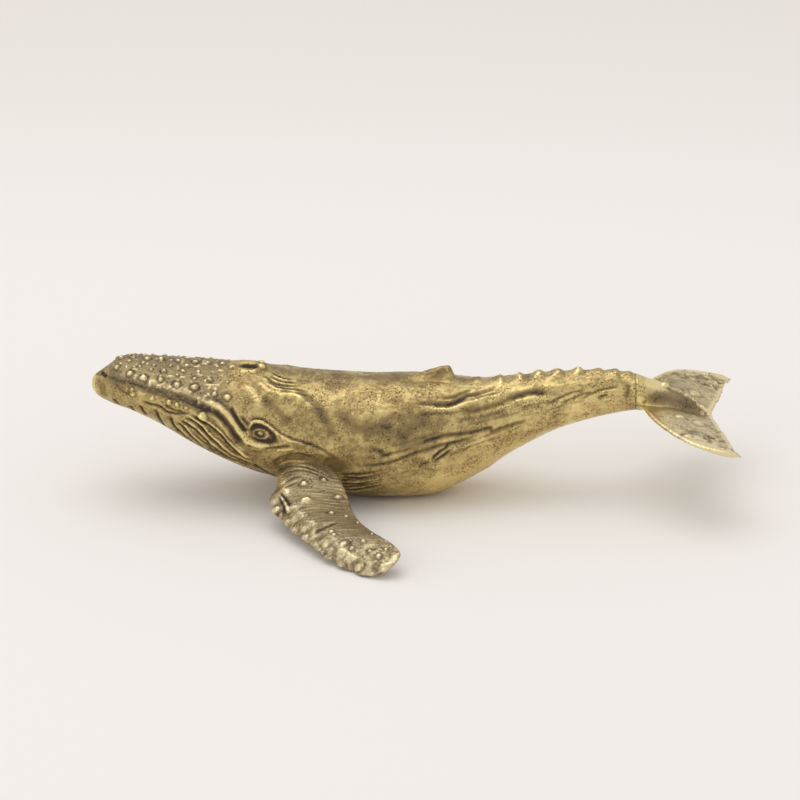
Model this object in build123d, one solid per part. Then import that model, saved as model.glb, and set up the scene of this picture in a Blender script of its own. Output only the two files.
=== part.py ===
from build123d import *
import os
from math import cos, pi, radians, sin, sqrt, tan

# A humpback whale figurine in cast brass, lying on its belly with its two
# flippers spread and its head and tail raised. Four castings are soldered
# together: the body, the port and starboard flippers and the tail flukes.
# Each appendage has a plug that sits in a pocket of the body, and a film of
# hard solder fills the pocket and the seam round it.
# Origin: on the flat under the belly, half way between nose and fluke tips.
# -X is the nose, +X the tail, -Y the port side and +Z is up.
# Lengths are in millimetres and angles in degrees.

# Driving dimensions
overall_length = 160.0     # nose to fluke tips
body_length = 134.5        # nose to the end of the tail stock
body_width = 32.0          # at its widest, behind the flippers
body_height = 30.0         # the trunk's driving height
solder_gap = 0.15          # clearance round each plug and along each seam
overrun = 1.0              # how far a cutter runs past what it cuts

# The body's stations along its length, chosen by hand. Each row is the
# place along the length, the height of the section's middle, the section's
# half width and its half height, as shares of the body's own sizes.
body_station_shares = [
    (0.004, 0.945, 0.110, 0.110),
    (0.013, 0.953, 0.200, 0.215),
    (0.031, 0.961, 0.330, 0.305),
    (0.050, 0.974, 0.445, 0.395),
    (0.068, 0.969, 0.525, 0.430),
    (0.087, 0.948, 0.588, 0.460),
    (0.124, 0.901, 0.681, 0.530),
    (0.197, 0.787, 0.819, 0.706),
    (0.271, 0.690, 0.906, 0.846),
    (0.345, 0.613, 0.963, 0.924),
    (0.419, 0.546, 0.994, 0.980),
    (0.492, 0.507, 1.000, 1.022),
    (0.566, 0.503, 0.975, 1.029),
    (0.640, 0.516, 0.887, 0.990),
    (0.714, 0.586, 0.719, 0.782),
    (0.788, 0.712, 0.537, 0.602),
    (0.861, 0.813, 0.400, 0.482),
    (0.935, 0.870, 0.315, 0.386),
    (1.000, 0.881, 0.290, 0.300),
]
nose_height_share = 0.945  # height of the very tip
skin_step = 0.01           # share of the length over which the skin's slope is read

# The mouth: a groove along the lips, down to the corner before the eye.
# Each row is a place along the body and a height, as shares of its sizes.
mouth_width = 0.9
mouth_depth = 0.7
mouth_line_shares = [
    (-0.010, 1.040),
    (0.032, 1.055),
    (0.068, 1.045),
    (0.106, 1.022),
    (0.142, 0.990),
    (0.176, 0.960),
    (0.198, 0.925),
    (0.220, 0.865),
    (0.240, 0.780),
    (0.256, 0.680),
    (0.272, 0.590),
    (0.290, 0.530),
]

# Throat pleats: wedges that fan out from a slanting line inside the throat
pleat_depth = 0.5
pleat_count = 11           # on each side, beside the middle one
pleat_step = 7.5           # angle from one pleat to the next
pleat_spread = 2.6         # angle that one groove takes up
pleat_core_share = 0.06    # where the wedges start, out from that line
pleat_front_shares = (0.050, 0.990)
pleat_back_shares = (0.430, 0.120)

# Tubercles: round knobs in rows on the upper jaw, chosen by hand. Each row
# is a place along the body and an angle round it, with one radius a list.
knob_root = 0.6            # how deep each knob's root is sunk
knob_top_share = 0.35      # radius at the top, of the radius at the root
knob_turn = 7              # turns the knobs' corners off the middle line
boss_sides = 8
lip_knob_radius = 1.5
lip_knob_rise = 0.5
lip_knob_shares = [
    (0.048, 64),
    (0.073, 51),
    (0.099, 46),
    (0.129, 46),
    (0.159, 45),
    (0.190, 44),
    (0.229, 41),
    (0.252, 40),
]
crown_knob_radius = 1.15
crown_knob_rise = 0.4
crown_knob_shares = [
    (0.082, 66),
    (0.111, 64),
    (0.133, 63),
    (0.159, 62),
    (0.191, 59),
    (0.219, 58),
    (0.251, 60),
]
ridge_knob_shares = [0.060, 0.080, 0.103, 0.128, 0.159, 0.190, 0.214, 0.240]
chin_knob_shares = [
    (0.074, 14),
    (0.116, 12),
    (0.143, 14),
    (0.170, -3),
    (0.208, 10),
]

# Eyes: a shallow socket with a rim and a bead in it
eye_share = 0.312
eye_angle = 6
eye_socket_radius = 2.6
eye_socket_depth = 0.6
eye_rim_radius = 2.1
eye_rim_width = 0.7
eye_rim_height = 0.45      # over the socket's floor
eye_bead_radius = 0.95
eye_bead_height = 0.6

# Blowholes: two slits in a mound on the crown of the head
blow_share = 0.288
blow_mound_length = 9.0
blow_mound_width = 5.4
blow_mound_height = 1.0
blow_slit_length = 5.0
blow_slit_width = 0.8
blow_slit_depth = 1.0
blow_slit_spacing = 2.0
blow_slit_splay = 12

# Dorsal fin: a low hooked fin. The outline's rows are shares of the fin's
# length and of its height over the back.
fin_share = 0.575          # where its front edge starts
fin_length = 14.0
fin_height = 3.2
fin_thickness = 3.4        # where it meets the back
fin_edge = 0.9             # at its tip
fin_outline_shares = [
    (0.00, 0.00),
    (0.22, 0.32),
    (0.45, 0.72),
    (0.66, 1.00),
    (0.76, 0.86),
    (0.79, 0.50),
    (0.86, 0.15),
    (1.00, 0.00),
]

# Knuckles: a serrated crest along the tail stock
knuckle_first_share = 0.712
knuckle_last_share = 0.982
knuckle_count = 9
knuckle_height = 1.0
knuckle_thickness = 3.0    # where a knuckle meets the back
knuckle_edge = 1.2         # along its top
knuckle_outline_shares = [
    (0.00, 0.00),
    (0.30, 0.35),
    (0.62, 1.00),
    (0.80, 0.70),
    (1.00, 0.00),
]
crest_root_depth = 1.5     # how deep fin and crest reach into the body

# Blades: how far along the chord a section's sides start, crown and end,
# and how far from the chord they lie there, as shares of half the thickness
blade_shares = [(0.0, 0.40), (0.42, 1.00), (1.0, 0.16)]

# Flippers. Each row is a share of the reach, then the leading edge's place
# and height and the trailing edge's place and height, as shares of the
# flipper's sweep and root height, and the share of the thickness.
flipper_reach = 57.0       # middle plane to flipper tip
flipper_sweep = 31.0       # fore and aft room that the flipper takes
flipper_front_share = 0.336  # where the elbow lies along the body
flipper_root_share = 0.42  # height of the flipper's root, as a share of the body's
flipper_thickness = 6.0
flipper_station_shares = [
    (0.160, 0.040, 0.880, 0.420, 1.060, 0.980),
    (0.246, 0.025, 0.800, 0.440, 0.990, 1.000),
    (0.333, 0.020, 0.680, 0.532, 0.790, 0.930),
    (0.421, 0.003, 0.470, 0.581, 0.650, 0.860),
    (0.526, 0.094, 0.340, 0.619, 0.550, 0.780),
    (0.632, 0.206, 0.285, 0.684, 0.500, 0.720),
    (0.719, 0.310, 0.245, 0.765, 0.495, 0.660),
    (0.807, 0.413, 0.200, 0.865, 0.500, 0.600),
    (0.877, 0.532, 0.125, 0.955, 0.475, 0.540),
    (0.939, 0.665, 0.070, 1.000, 0.420, 0.470),
    (0.975, 0.742, 0.085, 0.974, 0.340, 0.380),
    (1.000, 0.830, 0.120, 0.920, 0.250, 0.200),
]
flipper_plug_width = 8.0
flipper_plug_height = 3.2
flipper_plug_length = 6.0
flipper_plug_share = 0.393  # where the plug sits along the body
flipper_plug_rise_share = 0.373  # height of the plug's middle, as a share of the body's
flipper_plug_root = 2.5     # how far the plug's root runs into the flipper
edge_knob_first_share = 0.36  # where the scalloped leading edge starts
edge_knob_count = 9
edge_knob_spans = 4         # straight spans round each knob
edge_knob_rise = 1.1        # how far the knobs stand out

# Tail flukes. Each row is the reach as a share of half the span, then the
# leading and trailing edges' places as shares of the flukes' length and the
# thickness as a share of the blade's.
fluke_span = 53.6
fluke_thickness = 2.8
fluke_root_drop = 1.6      # the blades' middle surface, under the joint's middle
fluke_dip = 14.0           # angle that the blades fall towards the tail
fluke_rise = 0.9           # how far the tips curl up above the blades' plane
fluke_station_shares = [
    (0.000, 0.030, 0.735, 1.000),
    (0.080, 0.032, 0.745, 0.980),
    (0.160, 0.045, 0.760, 0.940),
    (0.300, 0.085, 0.795, 0.860),
    (0.450, 0.140, 0.835, 0.780),
    (0.600, 0.212, 0.868, 0.690),
    (0.750, 0.310, 0.905, 0.600),
    (0.870, 0.425, 0.950, 0.520),
    (0.940, 0.540, 0.985, 0.450),
    (0.980, 0.650, 1.000, 0.380),
    (1.000, 0.780, 0.970, 0.240),
]

# The flukes' stem, from the tail stock to the notch. Each row is a place
# along the flukes' length, the stem's top, its bottom and its half width,
# as shares of the body's height and width.
stem_station_shares = [
    (0.130, 0.985, 0.722, 0.300),
    (0.290, 0.935, 0.695, 0.275),
    (0.450, 0.868, 0.665, 0.230),
    (0.580, 0.795, 0.650, 0.165),
    (0.655, 0.745, 0.655, 0.095),
    (0.715, 0.708, 0.650, 0.040),
]
fluke_plug_width = 4.4
fluke_plug_height = 4.4
fluke_plug_length = 7.0
fluke_plug_root = 2.0       # how far the plug's root runs into the stem

nose_x = -overall_length / 2
joint_x = nose_x + body_length
fluke_length = overall_length - body_length - solder_gap


def blend(rows, share):
    """The columns of rows at a place between them, on a smooth curve."""
    if share <= rows[0][0]:
        return rows[0][1:]
    if share >= rows[-1][0]:
        return rows[-1][1:]
    n = max(i for i, row in enumerate(rows) if row[0] <= share)
    low, high = rows[n], rows[n + 1]
    before, after = rows[max(n - 1, 0)], rows[min(n + 2, len(rows) - 1)]
    span = high[0] - low[0]
    t = (share - low[0]) / span
    found = []
    for k in range(1, len(low)):
        slope_low = (high[k] - before[k]) / (high[0] - before[0]) * span
        slope_high = (after[k] - low[k]) / (after[0] - low[0]) * span
        found.append(
            (2 * t**3 - 3 * t**2 + 1) * low[k]
            + (t**3 - 2 * t**2 + t) * slope_low
            + (3 * t**2 - 2 * t**3) * high[k]
            + (t**3 - t**2) * slope_high
        )
    return found


def body_x(share):
    """How far along X a share of the body's length lies."""
    return nose_x + share * body_length


def body_section(share):
    """Middle height, half width and half height of the body there."""
    height, wide, tall = blend(body_station_shares, share)
    return height * body_height, wide * body_width / 2, tall * body_height / 2


def skin_normal(share, angle):
    """The way out of the skin, square to the body's length."""
    middle, wide, tall = body_section(share)
    turn = radians(angle)
    return Vector(0, -cos(turn) * tall, sin(turn) * wide).normalized()


def skin_point(share, angle):
    """A point on the body's skin. Angle 0 is the port side, 90 the back,
    180 the starboard side and -90 the belly."""
    middle, wide, tall = body_section(share)
    turn = radians(angle)
    return Vector(body_x(share), -wide * cos(turn), middle + tall * sin(turn))


def back_height(share):
    """Height of the back's middle line."""
    return skin_point(share, 90).Z


def oval(x, middle, wide, tall):
    """An oval face across the body, bounded by four arcs."""
    arcs = [
        EllipticalCenterArc((0, 0), wide, tall, start_angle=start, arc_size=90)
        for start in (0, 90, 180, 270)
    ]
    plane = Plane((x, 0, middle), x_dir=(0, 1, 0), z_dir=(1, 0, 0))
    return plane * Face(Wire([arc.edge() for arc in arcs]))


def make_trunk(lift=0):
    """The body's plain form, or one grown or shrunk all round by lift."""
    faces = [Vertex(nose_x - lift, 0, nose_height_share * body_height)]
    for row in body_station_shares:
        middle, wide, tall = body_section(row[0])
        faces.append(oval(body_x(row[0]), middle, wide + lift, tall + lift))
    return loft(faces)


def band_face(points, width):
    """A strip of even width along a smooth line in the XZ plane."""
    middle = Spline(*points)
    places = [n / (2 * len(points)) for n in range(2 * len(points) + 1)]
    edges = []
    for side in (1, -1):
        walk = []
        for place in places:
            ahead = middle % place
            across = Vector(-ahead.Z, 0, ahead.X) * (side * width / 2)
            walk.append(middle @ place + across)
        edges.append(walk)
    upper, lower = edges
    return Face(Wire([
        Spline(*upper),
        Line(upper[-1], lower[-1]),
        Spline(*lower),
        Line(lower[0], upper[0]),
    ]))


def make_mouth(inner):
    """The groove between the lips, on both sides of the head."""
    points = [
        (body_x(share), 0, height * body_height)
        for share, height in mouth_line_shares
    ]
    band = band_face(points, mouth_width)
    return extrude(band, body_width / 2 + overrun, dir=(0, 1, 0), both=True) - inner


def make_pleats(inner):
    """Grooves from the chin to the belly, fanned round a slanting line."""
    front, back = (
        Vector(body_x(share), 0, height * body_height)
        for share, height in (pleat_front_shares, pleat_back_shares)
    )
    along = back - front
    across = Plane(front, x_dir=(0, -1, 0), z_dir=along)
    near, far = pleat_core_share * body_width, body_width
    wedges = []
    for n in range(-pleat_count, pleat_count + 1):
        low, high = (
            radians(n * pleat_step + side * pleat_spread / 2) for side in (-1, 1)
        )
        corners = [
            (reach * sin(turn), reach * cos(turn))
            for reach, turn in ((near, low), (far, low), (far, high), (near, high))
        ]
        wedge = extrude(across * Polygon(*corners, align=None), along.length, dir=along)
        wedges.append(wedge)
    return Compound(children=wedges) - inner


def upright(share, angle, lift=0):
    """A frame on the skin, with Z out of it and X along the body."""
    ahead = skin_point(share + skin_step, angle) - skin_point(share - skin_step, angle)
    out = skin_normal(share, angle)
    out = (out - ahead * (out.dot(ahead) / ahead.dot(ahead))).normalized()
    return Plane(skin_point(share, angle) + out * lift, x_dir=ahead, z_dir=out)


def boss(radius, top_radius, height):
    """A blunt cone with eight flat sides."""
    top = Pos(0, 0, height) * RegularPolygon(top_radius, boss_sides)
    return loft([RegularPolygon(radius, boss_sides), top])


def knob(share, angle, radius, rise):
    """A low knob on the skin, with its root sunk in it."""
    form = boss(radius, radius * knob_top_share, rise + knob_root)
    return upright(share, angle, -knob_root) * Rot(0, 0, knob_turn) * form


def starboard(solid):
    """The mirror image across the middle plane."""
    return mirror(solid, about=Plane.XZ)


def both_sides(solids):
    """The solids and their mirror images on the starboard side."""
    return [*solids, *(starboard(solid) for solid in solids)]


def make_tubercles():
    """The knobs on the lips, crown and chin."""
    ridge = [knob(share, 90, crown_knob_radius, crown_knob_rise) for share in ridge_knob_shares]
    port = [knob(*place, lip_knob_radius, lip_knob_rise) for place in lip_knob_shares]
    port += [knob(*place, crown_knob_radius, crown_knob_rise) for place in crown_knob_shares]
    port += [knob(*place, crown_knob_radius, crown_knob_rise) for place in chin_knob_shares]
    return ridge + both_sides(port)


def make_eye():
    """One eye: the cutter of its socket, then the rim and bead in it."""
    reach = (eye_socket_radius**2 + eye_socket_depth**2) / (2 * eye_socket_depth)
    socket = upright(eye_share, eye_angle, reach - eye_socket_depth) * Sphere(reach)
    seat = upright(eye_share, eye_angle, -eye_socket_depth - knob_root)
    seat *= Rot(0, 0, knob_turn)
    hole = RegularPolygon(eye_rim_radius - eye_rim_width, boss_sides)
    rim = boss(eye_rim_radius, eye_rim_radius - eye_rim_width / 2, knob_root + eye_rim_height)
    rim -= extrude(hole, 2 * eye_rim_radius)
    bead = boss(eye_bead_radius, eye_bead_radius * knob_top_share, knob_root + eye_bead_height)
    return socket, [seat * rim, seat * bead]


def make_blowholes():
    """The mound on the crown, and the cutters of the two slits in it."""
    seat = upright(blow_share, 90)
    half_sizes = (blow_mound_length / 2, blow_mound_width / 2, 2 * blow_mound_height)
    mound = seat * scale(Cone(1, knob_top_share, 1), half_sizes)
    slits = []
    for side in (-1, 1):
        slot = SlotOverall(blow_slit_length, blow_slit_width)
        slot = Pos(0, side * blow_slit_spacing / 2) * Rot(0, 0, -side * blow_slit_splay) * slot
        top = seat.offset(blow_mound_height + overrun)
        slits.append(extrude(top * slot, -(blow_slit_depth + blow_mound_height / 2 + overrun)))
    return mound, slits


def ridge_plate(rows, foot, tip, base, top):
    """A plate on the middle plane under a profile along the back. Its sides
    lean from the base's thickness at the foot to the top's at the tip."""
    sunk = [Vector(row.X, 0, foot - overrun) for row in (rows[-1], rows[0])]
    plate = extrude(make_face(Polyline(*rows, *sunk, rows[0])), base, dir=(0, 1, 0), both=True)
    slope = (base - top) / 2 / (tip - foot)
    low = base / 2 + slope * overrun
    high = top / 2 - slope * overrun
    corners = [(side * low, foot - overrun) for side in (-1, 1)]
    corners += [(side * high, tip + overrun) for side in (1, -1)]
    wall = Polygon(*corners, align=None)
    front = Plane((rows[0].X - overrun, 0, 0), x_dir=(0, 1, 0), z_dir=(1, 0, 0))
    return plate & extrude(front * wall, rows[-1].X - rows[0].X + 2 * overrun)


def make_fin():
    """The dorsal fin: a hooked outline, sunk into the back."""
    rows = []
    for along, rise in fin_outline_shares:
        share = fin_share + along * fin_length / body_length
        rows.append(Vector(body_x(share), 0, back_height(share) + rise * fin_height))
    foot = min(row.Z for row in rows) - crest_root_depth
    tip = max(row.Z for row in rows)
    return ridge_plate(rows, foot, tip, fin_thickness, fin_edge)


def make_knuckles():
    """The crest of knuckles: teeth that lean back, one after the other."""
    step = (knuckle_last_share - knuckle_first_share) / knuckle_count
    teeth = []
    for n in range(knuckle_count):
        start = knuckle_first_share + n * step
        rows = []
        for along, rise in knuckle_outline_shares:
            share = start + along * step
            rows.append(Vector(body_x(share), 0, back_height(share) + rise * knuckle_height))
        foot = min(row.Z for row in rows) - crest_root_depth
        tip = max(row.Z for row in rows)
        teeth.append(ridge_plate(rows, foot, tip, knuckle_thickness, knuckle_edge))
    return teeth


def blade_section(reach, lead, trail, thickness):
    """A blade's section: two arched sides between a blunt leading edge and
    a thin trailing edge. Lead and trail are the edges' X and Z."""
    start = Vector(lead[0], reach, lead[1])
    chord = Vector(trail[0], reach, trail[1]) - start
    across = Vector(-chord.Z, 0, chord.X).normalized() * (thickness / 2)
    upper, lower = (
        [start + chord * along + across * (side * rise) for along, rise in blade_shares]
        for side in (1, -1)
    )
    return make_face(
        ThreePointArc(*upper)
        + Line(upper[2], lower[2])
        + ThreePointArc(*lower)
        + Line(lower[0], upper[0])
    ).face()


def flipper_row(share):
    """The port flipper's reach, edges and thickness at a share of its reach."""
    lead_x, lead_z, trail_x, trail_z, thick = blend(flipper_station_shares, share)
    front, root = body_x(flipper_front_share), flipper_root_share * body_height
    lead = (front + lead_x * flipper_sweep, lead_z * root)
    trail = (front + trail_x * flipper_sweep, trail_z * root)
    return -share * flipper_reach, lead, trail, thick * flipper_thickness


def edge_knob_lift(share):
    """How far the scalloped leading edge stands out there."""
    along = (share - edge_knob_first_share) / (1 - edge_knob_first_share)
    return edge_knob_rise * abs(sin(pi * edge_knob_count * along))


def make_flipper_blank():
    """The port flipper as one blade that runs on into the body."""
    shares = [row[0] for row in flipper_station_shares if row[0] < edge_knob_first_share]
    steps = edge_knob_count * edge_knob_spans
    for n in range(steps + 1):
        shares.append(edge_knob_first_share + (1 - edge_knob_first_share) * n / steps)
    sections = []
    for share in shares:
        reach, lead, trail, thick = flipper_row(share)
        ahead = Vector(lead[0] - trail[0], 0, lead[1] - trail[1]).normalized()
        if share > edge_knob_first_share:
            ahead *= edge_knob_lift(share)
            lead = (lead[0] + ahead.X, lead[1] + ahead.Z)
        sections.append(blade_section(reach, lead, trail, thick))
    return loft(sections, ruled=True) - under_floor()


def under_floor():
    """A block below the floor, which flattens what would reach into it."""
    block = Box(2 * overall_length, 4 * flipper_reach, body_height)
    return Pos(0, 0, -body_height / 2) * block


def flipper_plug(grown=0):
    """The plug at the flipper's root, or its pocket in the body."""
    share = flipper_plug_share
    middle, wide, tall = body_section(share)
    rise = flipper_plug_rise_share * body_height
    skin_y = -wide * sqrt(1 - ((rise - middle) / tall) ** 2)
    deep = flipper_plug_length + grown
    out = flipper_plug_root
    size = (flipper_plug_width + 2 * grown, deep + out, flipper_plug_height + 2 * grown)
    return Pos(body_x(share), skin_y + (deep - out) / 2, rise) * Box(*size)


def fluke_row(share):
    """One fluke's reach, edges and thickness at a share of its half span."""
    lead, trail, thick = blend(fluke_station_shares, share)
    root = body_section(1)[0] - fluke_root_drop
    ends = []
    for along in (lead, trail):
        ahead = along * fluke_length
        drop = ahead * tan(radians(fluke_dip)) - fluke_rise * share * share
        ends.append((joint_x + solder_gap + ahead, root - drop))
    return share * fluke_span / 2, *ends, thick * fluke_thickness


def make_flukes():
    """Both blades in one casting with the stem and the plug."""
    blade = loft([blade_section(*fluke_row(row[0])) for row in fluke_station_shares])
    blades = blade + starboard(blade)
    middle, wide, tall = body_section(1)
    seam_x = joint_x + solder_gap
    ovals = [oval(seam_x, middle, wide, tall)]
    for along, top, bottom, width in stem_station_shares:
        middle = (top + bottom) / 2 * body_height
        tall = (top - bottom) / 2 * body_height
        ovals.append(oval(seam_x + along * fluke_length, middle, width * body_width / 2, tall))
    stem = loft(ovals)
    return blades + stem + fluke_plug()


def fluke_plug(grown=0):
    """The plug ahead of the flukes, or its pocket in the tail stock."""
    middle = body_section(1)[0]
    deep = fluke_plug_length + grown
    out = fluke_plug_root
    size = (deep + out, fluke_plug_width + 2 * grown, fluke_plug_height + 2 * grown)
    return Pos(joint_x + (out - deep) / 2, 0, middle) * Box(*size)


def make_body(trunk, pockets):
    """The body: the trunk with its carved and raised features."""
    socket, eye = make_eye()
    mound, slits = make_blowholes()
    body = trunk - both_sides([socket])
    body += [mound, make_fin(), *make_knuckles(), *both_sides(eye), *make_tubercles()]
    mouth = make_mouth(make_trunk(-mouth_depth))
    body -= [mouth, *slits, *pockets, under_floor()]
    return body - make_pleats(make_trunk(-pleat_depth))


def make_flipper_solder(trunk, grown, blank):
    """The solder in the port pocket and in the seam round the root."""
    seam = blank & (grown - trunk)
    return seam + (flipper_plug(solder_gap) & trunk) - flipper_plug()


def make_fluke_solder(trunk):
    """The solder in the tail stock's pocket and across its end."""
    seam = extrude(oval(joint_x, *body_section(1)), solder_gap, dir=(1, 0, 0))
    return seam + (fluke_plug(solder_gap) & trunk) - fluke_plug()


trunk = make_trunk()
grown = make_trunk(solder_gap)
blank = make_flipper_blank()
pockets = [*both_sides([flipper_plug(solder_gap)]), fluke_plug(solder_gap)]
port_flipper = blank - grown + flipper_plug()
port_solder = make_flipper_solder(trunk, grown, blank)

parts = {
    "body": make_body(trunk, pockets),
    "port_flipper": port_flipper,
    "starboard_flipper": starboard(port_flipper),
    "tail_flukes": make_flukes(),
    "port_flipper_solder": port_solder,
    "starboard_flipper_solder": starboard(port_solder),
    "tail_flukes_solder": make_fluke_solder(trunk),
}
os.makedirs("parts", exist_ok=True)
for name, part in parts.items():
    export_step(part, f"parts/{name}.step")
    print(name, "volume", round(part.volume, 1), "solids", len(part.solids()))
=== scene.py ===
# %% [markdown]
# A humpback whale figurine in cast, aged brass.
# The real one is poured in a few castings, soldered, chased with small chisels, darkened all over
# and then rubbed bright on its high spots.
# The CAD model gives the castings' places and sizes. Each casting is shown here by a finer skin
# that lies on the CAD form and carries the carving, and the finish is made with shader nodes.

# %% Load the CAD frame
import itertools
from math import cos, pi, radians, sin, tan

import bmesh
import bpy
import numpy as np
from mathutils import Matrix, Vector


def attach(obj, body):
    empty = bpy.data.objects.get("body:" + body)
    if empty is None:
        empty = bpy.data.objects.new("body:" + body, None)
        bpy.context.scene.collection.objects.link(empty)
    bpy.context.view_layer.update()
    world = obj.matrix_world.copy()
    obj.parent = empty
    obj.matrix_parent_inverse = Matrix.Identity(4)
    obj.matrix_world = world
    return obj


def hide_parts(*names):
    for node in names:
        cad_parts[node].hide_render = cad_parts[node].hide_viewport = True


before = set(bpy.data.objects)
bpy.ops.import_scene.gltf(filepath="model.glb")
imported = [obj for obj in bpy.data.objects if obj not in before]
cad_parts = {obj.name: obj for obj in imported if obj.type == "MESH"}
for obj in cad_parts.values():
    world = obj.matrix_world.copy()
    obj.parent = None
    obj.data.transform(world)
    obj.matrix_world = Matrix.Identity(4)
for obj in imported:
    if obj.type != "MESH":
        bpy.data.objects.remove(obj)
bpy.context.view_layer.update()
MM = 0.001

# %% [markdown]
# The camera comes first, because the carving is placed as it sees it.
# A long lens from 1.5 m away flattens the whale as a catalogue picture does. The camera looks
# along +Y and down by 21.5 degrees, and the picture is 198.5 mm wide where the whale lies.

# %% The camera
view_size = 800
view_width = 198.5
view_distance = 1500.0
view_tilt = radians(21.5)
view_target = np.array([-3.85, 0.0, 24.16])
toward_camera = np.array([0.0, -cos(view_tilt), sin(view_tilt)])
view_up = np.array([0.0, sin(view_tilt), cos(view_tilt)])

lens = bpy.data.cameras.new("catalogue_lens")
lens.sensor_width = 36.0
lens.lens = lens.sensor_width * view_distance / view_width
lens.clip_start = 0.1
lens.clip_end = 20.0
camera = bpy.data.objects.new("catalogue_camera", lens)
camera.location = Vector((view_target + toward_camera * view_distance) * MM)
camera.rotation_euler = (pi / 2 - view_tilt, 0.0, 0.0)
bpy.context.scene.collection.objects.link(camera)
bpy.context.scene.camera = camera


def in_view(points):
    """Where the camera sees points: across and down, in dots of an 800 by 800 picture."""
    away = points - view_target
    near = view_distance / (view_distance - away @ toward_camera)
    dots = view_size / view_width * near
    across = view_size / 2 + away[:, 0] * dots
    down = view_size / 2 - (away @ view_up) * dots
    return np.stack([across, down], axis=1)


print("lens in mm", round(lens.lens, 1))

# %% [markdown]
# Helpers for every carved skin: a smooth curve through rows of numbers, smooth random hills,
# and a soft step. They work on whole arrays of points at once, which keeps the script quick.


# %% Curves and hills
def follow(rows, place):
    """The columns of rows at each place between them, on a smooth curve."""
    rows = np.array(rows, float)
    knots, values = rows[:, 0], rows[:, 1:]
    place = np.clip(place, knots[0], knots[-1])
    low = np.clip(np.searchsorted(knots, place, side="right") - 1, 0, len(knots) - 2)
    high = low + 1
    before, after = np.maximum(low - 1, 0), np.minimum(high + 1, len(knots) - 1)
    span = (knots[high] - knots[low])[:, None]
    t = (place - knots[low])[:, None] / span
    slope_low = (values[high] - values[before]) / (knots[high] - knots[before])[:, None] * span
    slope_high = (values[after] - values[low]) / (knots[after] - knots[low])[:, None] * span
    return (
        (2 * t**3 - 3 * t**2 + 1) * values[low]
        + (t**3 - 2 * t**2 + t) * slope_low
        + (3 * t**2 - 2 * t**3) * values[high]
        + (t**3 - t**2) * slope_high
    )


def ease(low, high, value):
    """0 below low, 1 above high and a soft rise between them."""
    t = np.clip((value - low) / (high - low), 0.0, 1.0)
    return t * t * (3 - 2 * t)


def lattice(cell, seed):
    """A fixed random number from 0 to 1 for each whole-numbered cell."""
    mixed = cell[:, 0] * 73856093 ^ cell[:, 1] * 19349663 ^ cell[:, 2] * 83492791 ^ seed * 9176741
    mixed = (mixed ^ (mixed >> 13)) * 1274126177
    mixed = (mixed ^ (mixed >> 16)) & 0xFFFFFF
    return mixed / 0xFFFFFF


def hills(points, size, seed):
    """Smooth random hills from -1 to 1, about as wide as size."""
    place = points / size
    cell = np.floor(place).astype(np.int64)
    part = place - cell
    part = part * part * (3 - 2 * part)
    total = np.zeros(len(points))
    for corner in itertools.product((0, 1), repeat=3):
        weight = np.prod(np.where(corner, part, 1 - part), axis=1)
        total += weight * lattice(cell + np.array(corner), seed)
    return 2 * total - 1


print("the soft step is at", float(ease(0, 1, 0.25)), "after a quarter of its way")

# %% [markdown]
# The body's plain form is a row of ovals along its length, the same as in the CAD model.
# The skin is a grid on it: rings along the body, and points round each ring from the belly up
# the port side, over the back and down the starboard side.

# %% The body's plain form
body_length = 134.5
body_width = 32.0
body_height = 30.0
nose_x = -80.0
joint_x = nose_x + body_length
body_stations = [
    (0.000, 0.945, 0.000, 0.000),
    (0.004, 0.945, 0.110, 0.110),
    (0.013, 0.953, 0.200, 0.215),
    (0.031, 0.961, 0.330, 0.305),
    (0.050, 0.974, 0.445, 0.395),
    (0.068, 0.969, 0.525, 0.430),
    (0.087, 0.948, 0.588, 0.460),
    (0.124, 0.901, 0.681, 0.530),
    (0.197, 0.787, 0.819, 0.706),
    (0.271, 0.690, 0.906, 0.846),
    (0.345, 0.613, 0.963, 0.924),
    (0.419, 0.546, 0.994, 0.980),
    (0.492, 0.507, 1.000, 1.022),
    (0.566, 0.503, 0.975, 1.029),
    (0.640, 0.516, 0.887, 0.990),
    (0.714, 0.586, 0.719, 0.782),
    (0.788, 0.712, 0.537, 0.602),
    (0.861, 0.813, 0.400, 0.482),
    (0.935, 0.870, 0.315, 0.386),
    (1.000, 0.881, 0.290, 0.300),
]
nose_share, nose_size = body_stations[1][0], body_stations[1][2]


def body_point(share, angle):
    """Points on the plain skin. Angle 0 is the port side and 90 the back."""
    middle, wide, tall = follow(body_stations, share).T
    # The first step of the nose is rounded like a ball
    nose = np.sqrt(np.clip(share / nose_share, 0.0, 1.0)) * nose_size
    wide = np.where(share < nose_share, nose, wide) * body_width / 2
    tall = np.where(share < nose_share, nose, tall) * body_height / 2
    turn = np.radians(angle)
    return np.stack([
        nose_x + share * body_length,
        -wide * np.cos(turn),
        middle * body_height + tall * np.sin(turn),
    ], axis=1)


# The head has finer rings than the trunk, and the points crowd towards the back and its crest
head_end = 0.36
head_rings, trunk_rings, around = 165, 190, 256
back_crowding = 0.25
grid_shares = np.concatenate([
    np.array([0.0004, 0.0016, 0.0036]),
    np.linspace(0.0066, head_end, head_rings),
    np.linspace(head_end, 1.0, trunk_rings + 1)[1:],
])
half = np.arange(around // 2 + 1) / (around // 2)
port_angles = -90 + 180 * (half + back_crowding * np.sin(pi * half) / pi)
grid_angles = np.concatenate([port_angles, 180 - port_angles[-2:0:-1]])
rings = len(grid_shares)
share_of, angle_of = (a.ravel() for a in np.meshgrid(grid_shares, grid_angles, indexing="ij"))
plain = body_point(share_of, angle_of)
print("body skin", rings, "rings of", around, "points")

# %% [markdown]
# Helpers for such a grid of points: the way out at each point, the mean of its neighbours, the
# mesh itself, and a number kept at each point for the finish. A sculpted mesh would need
# Blender's own tools for these. On a grid they are plain steps over arrays.


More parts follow.
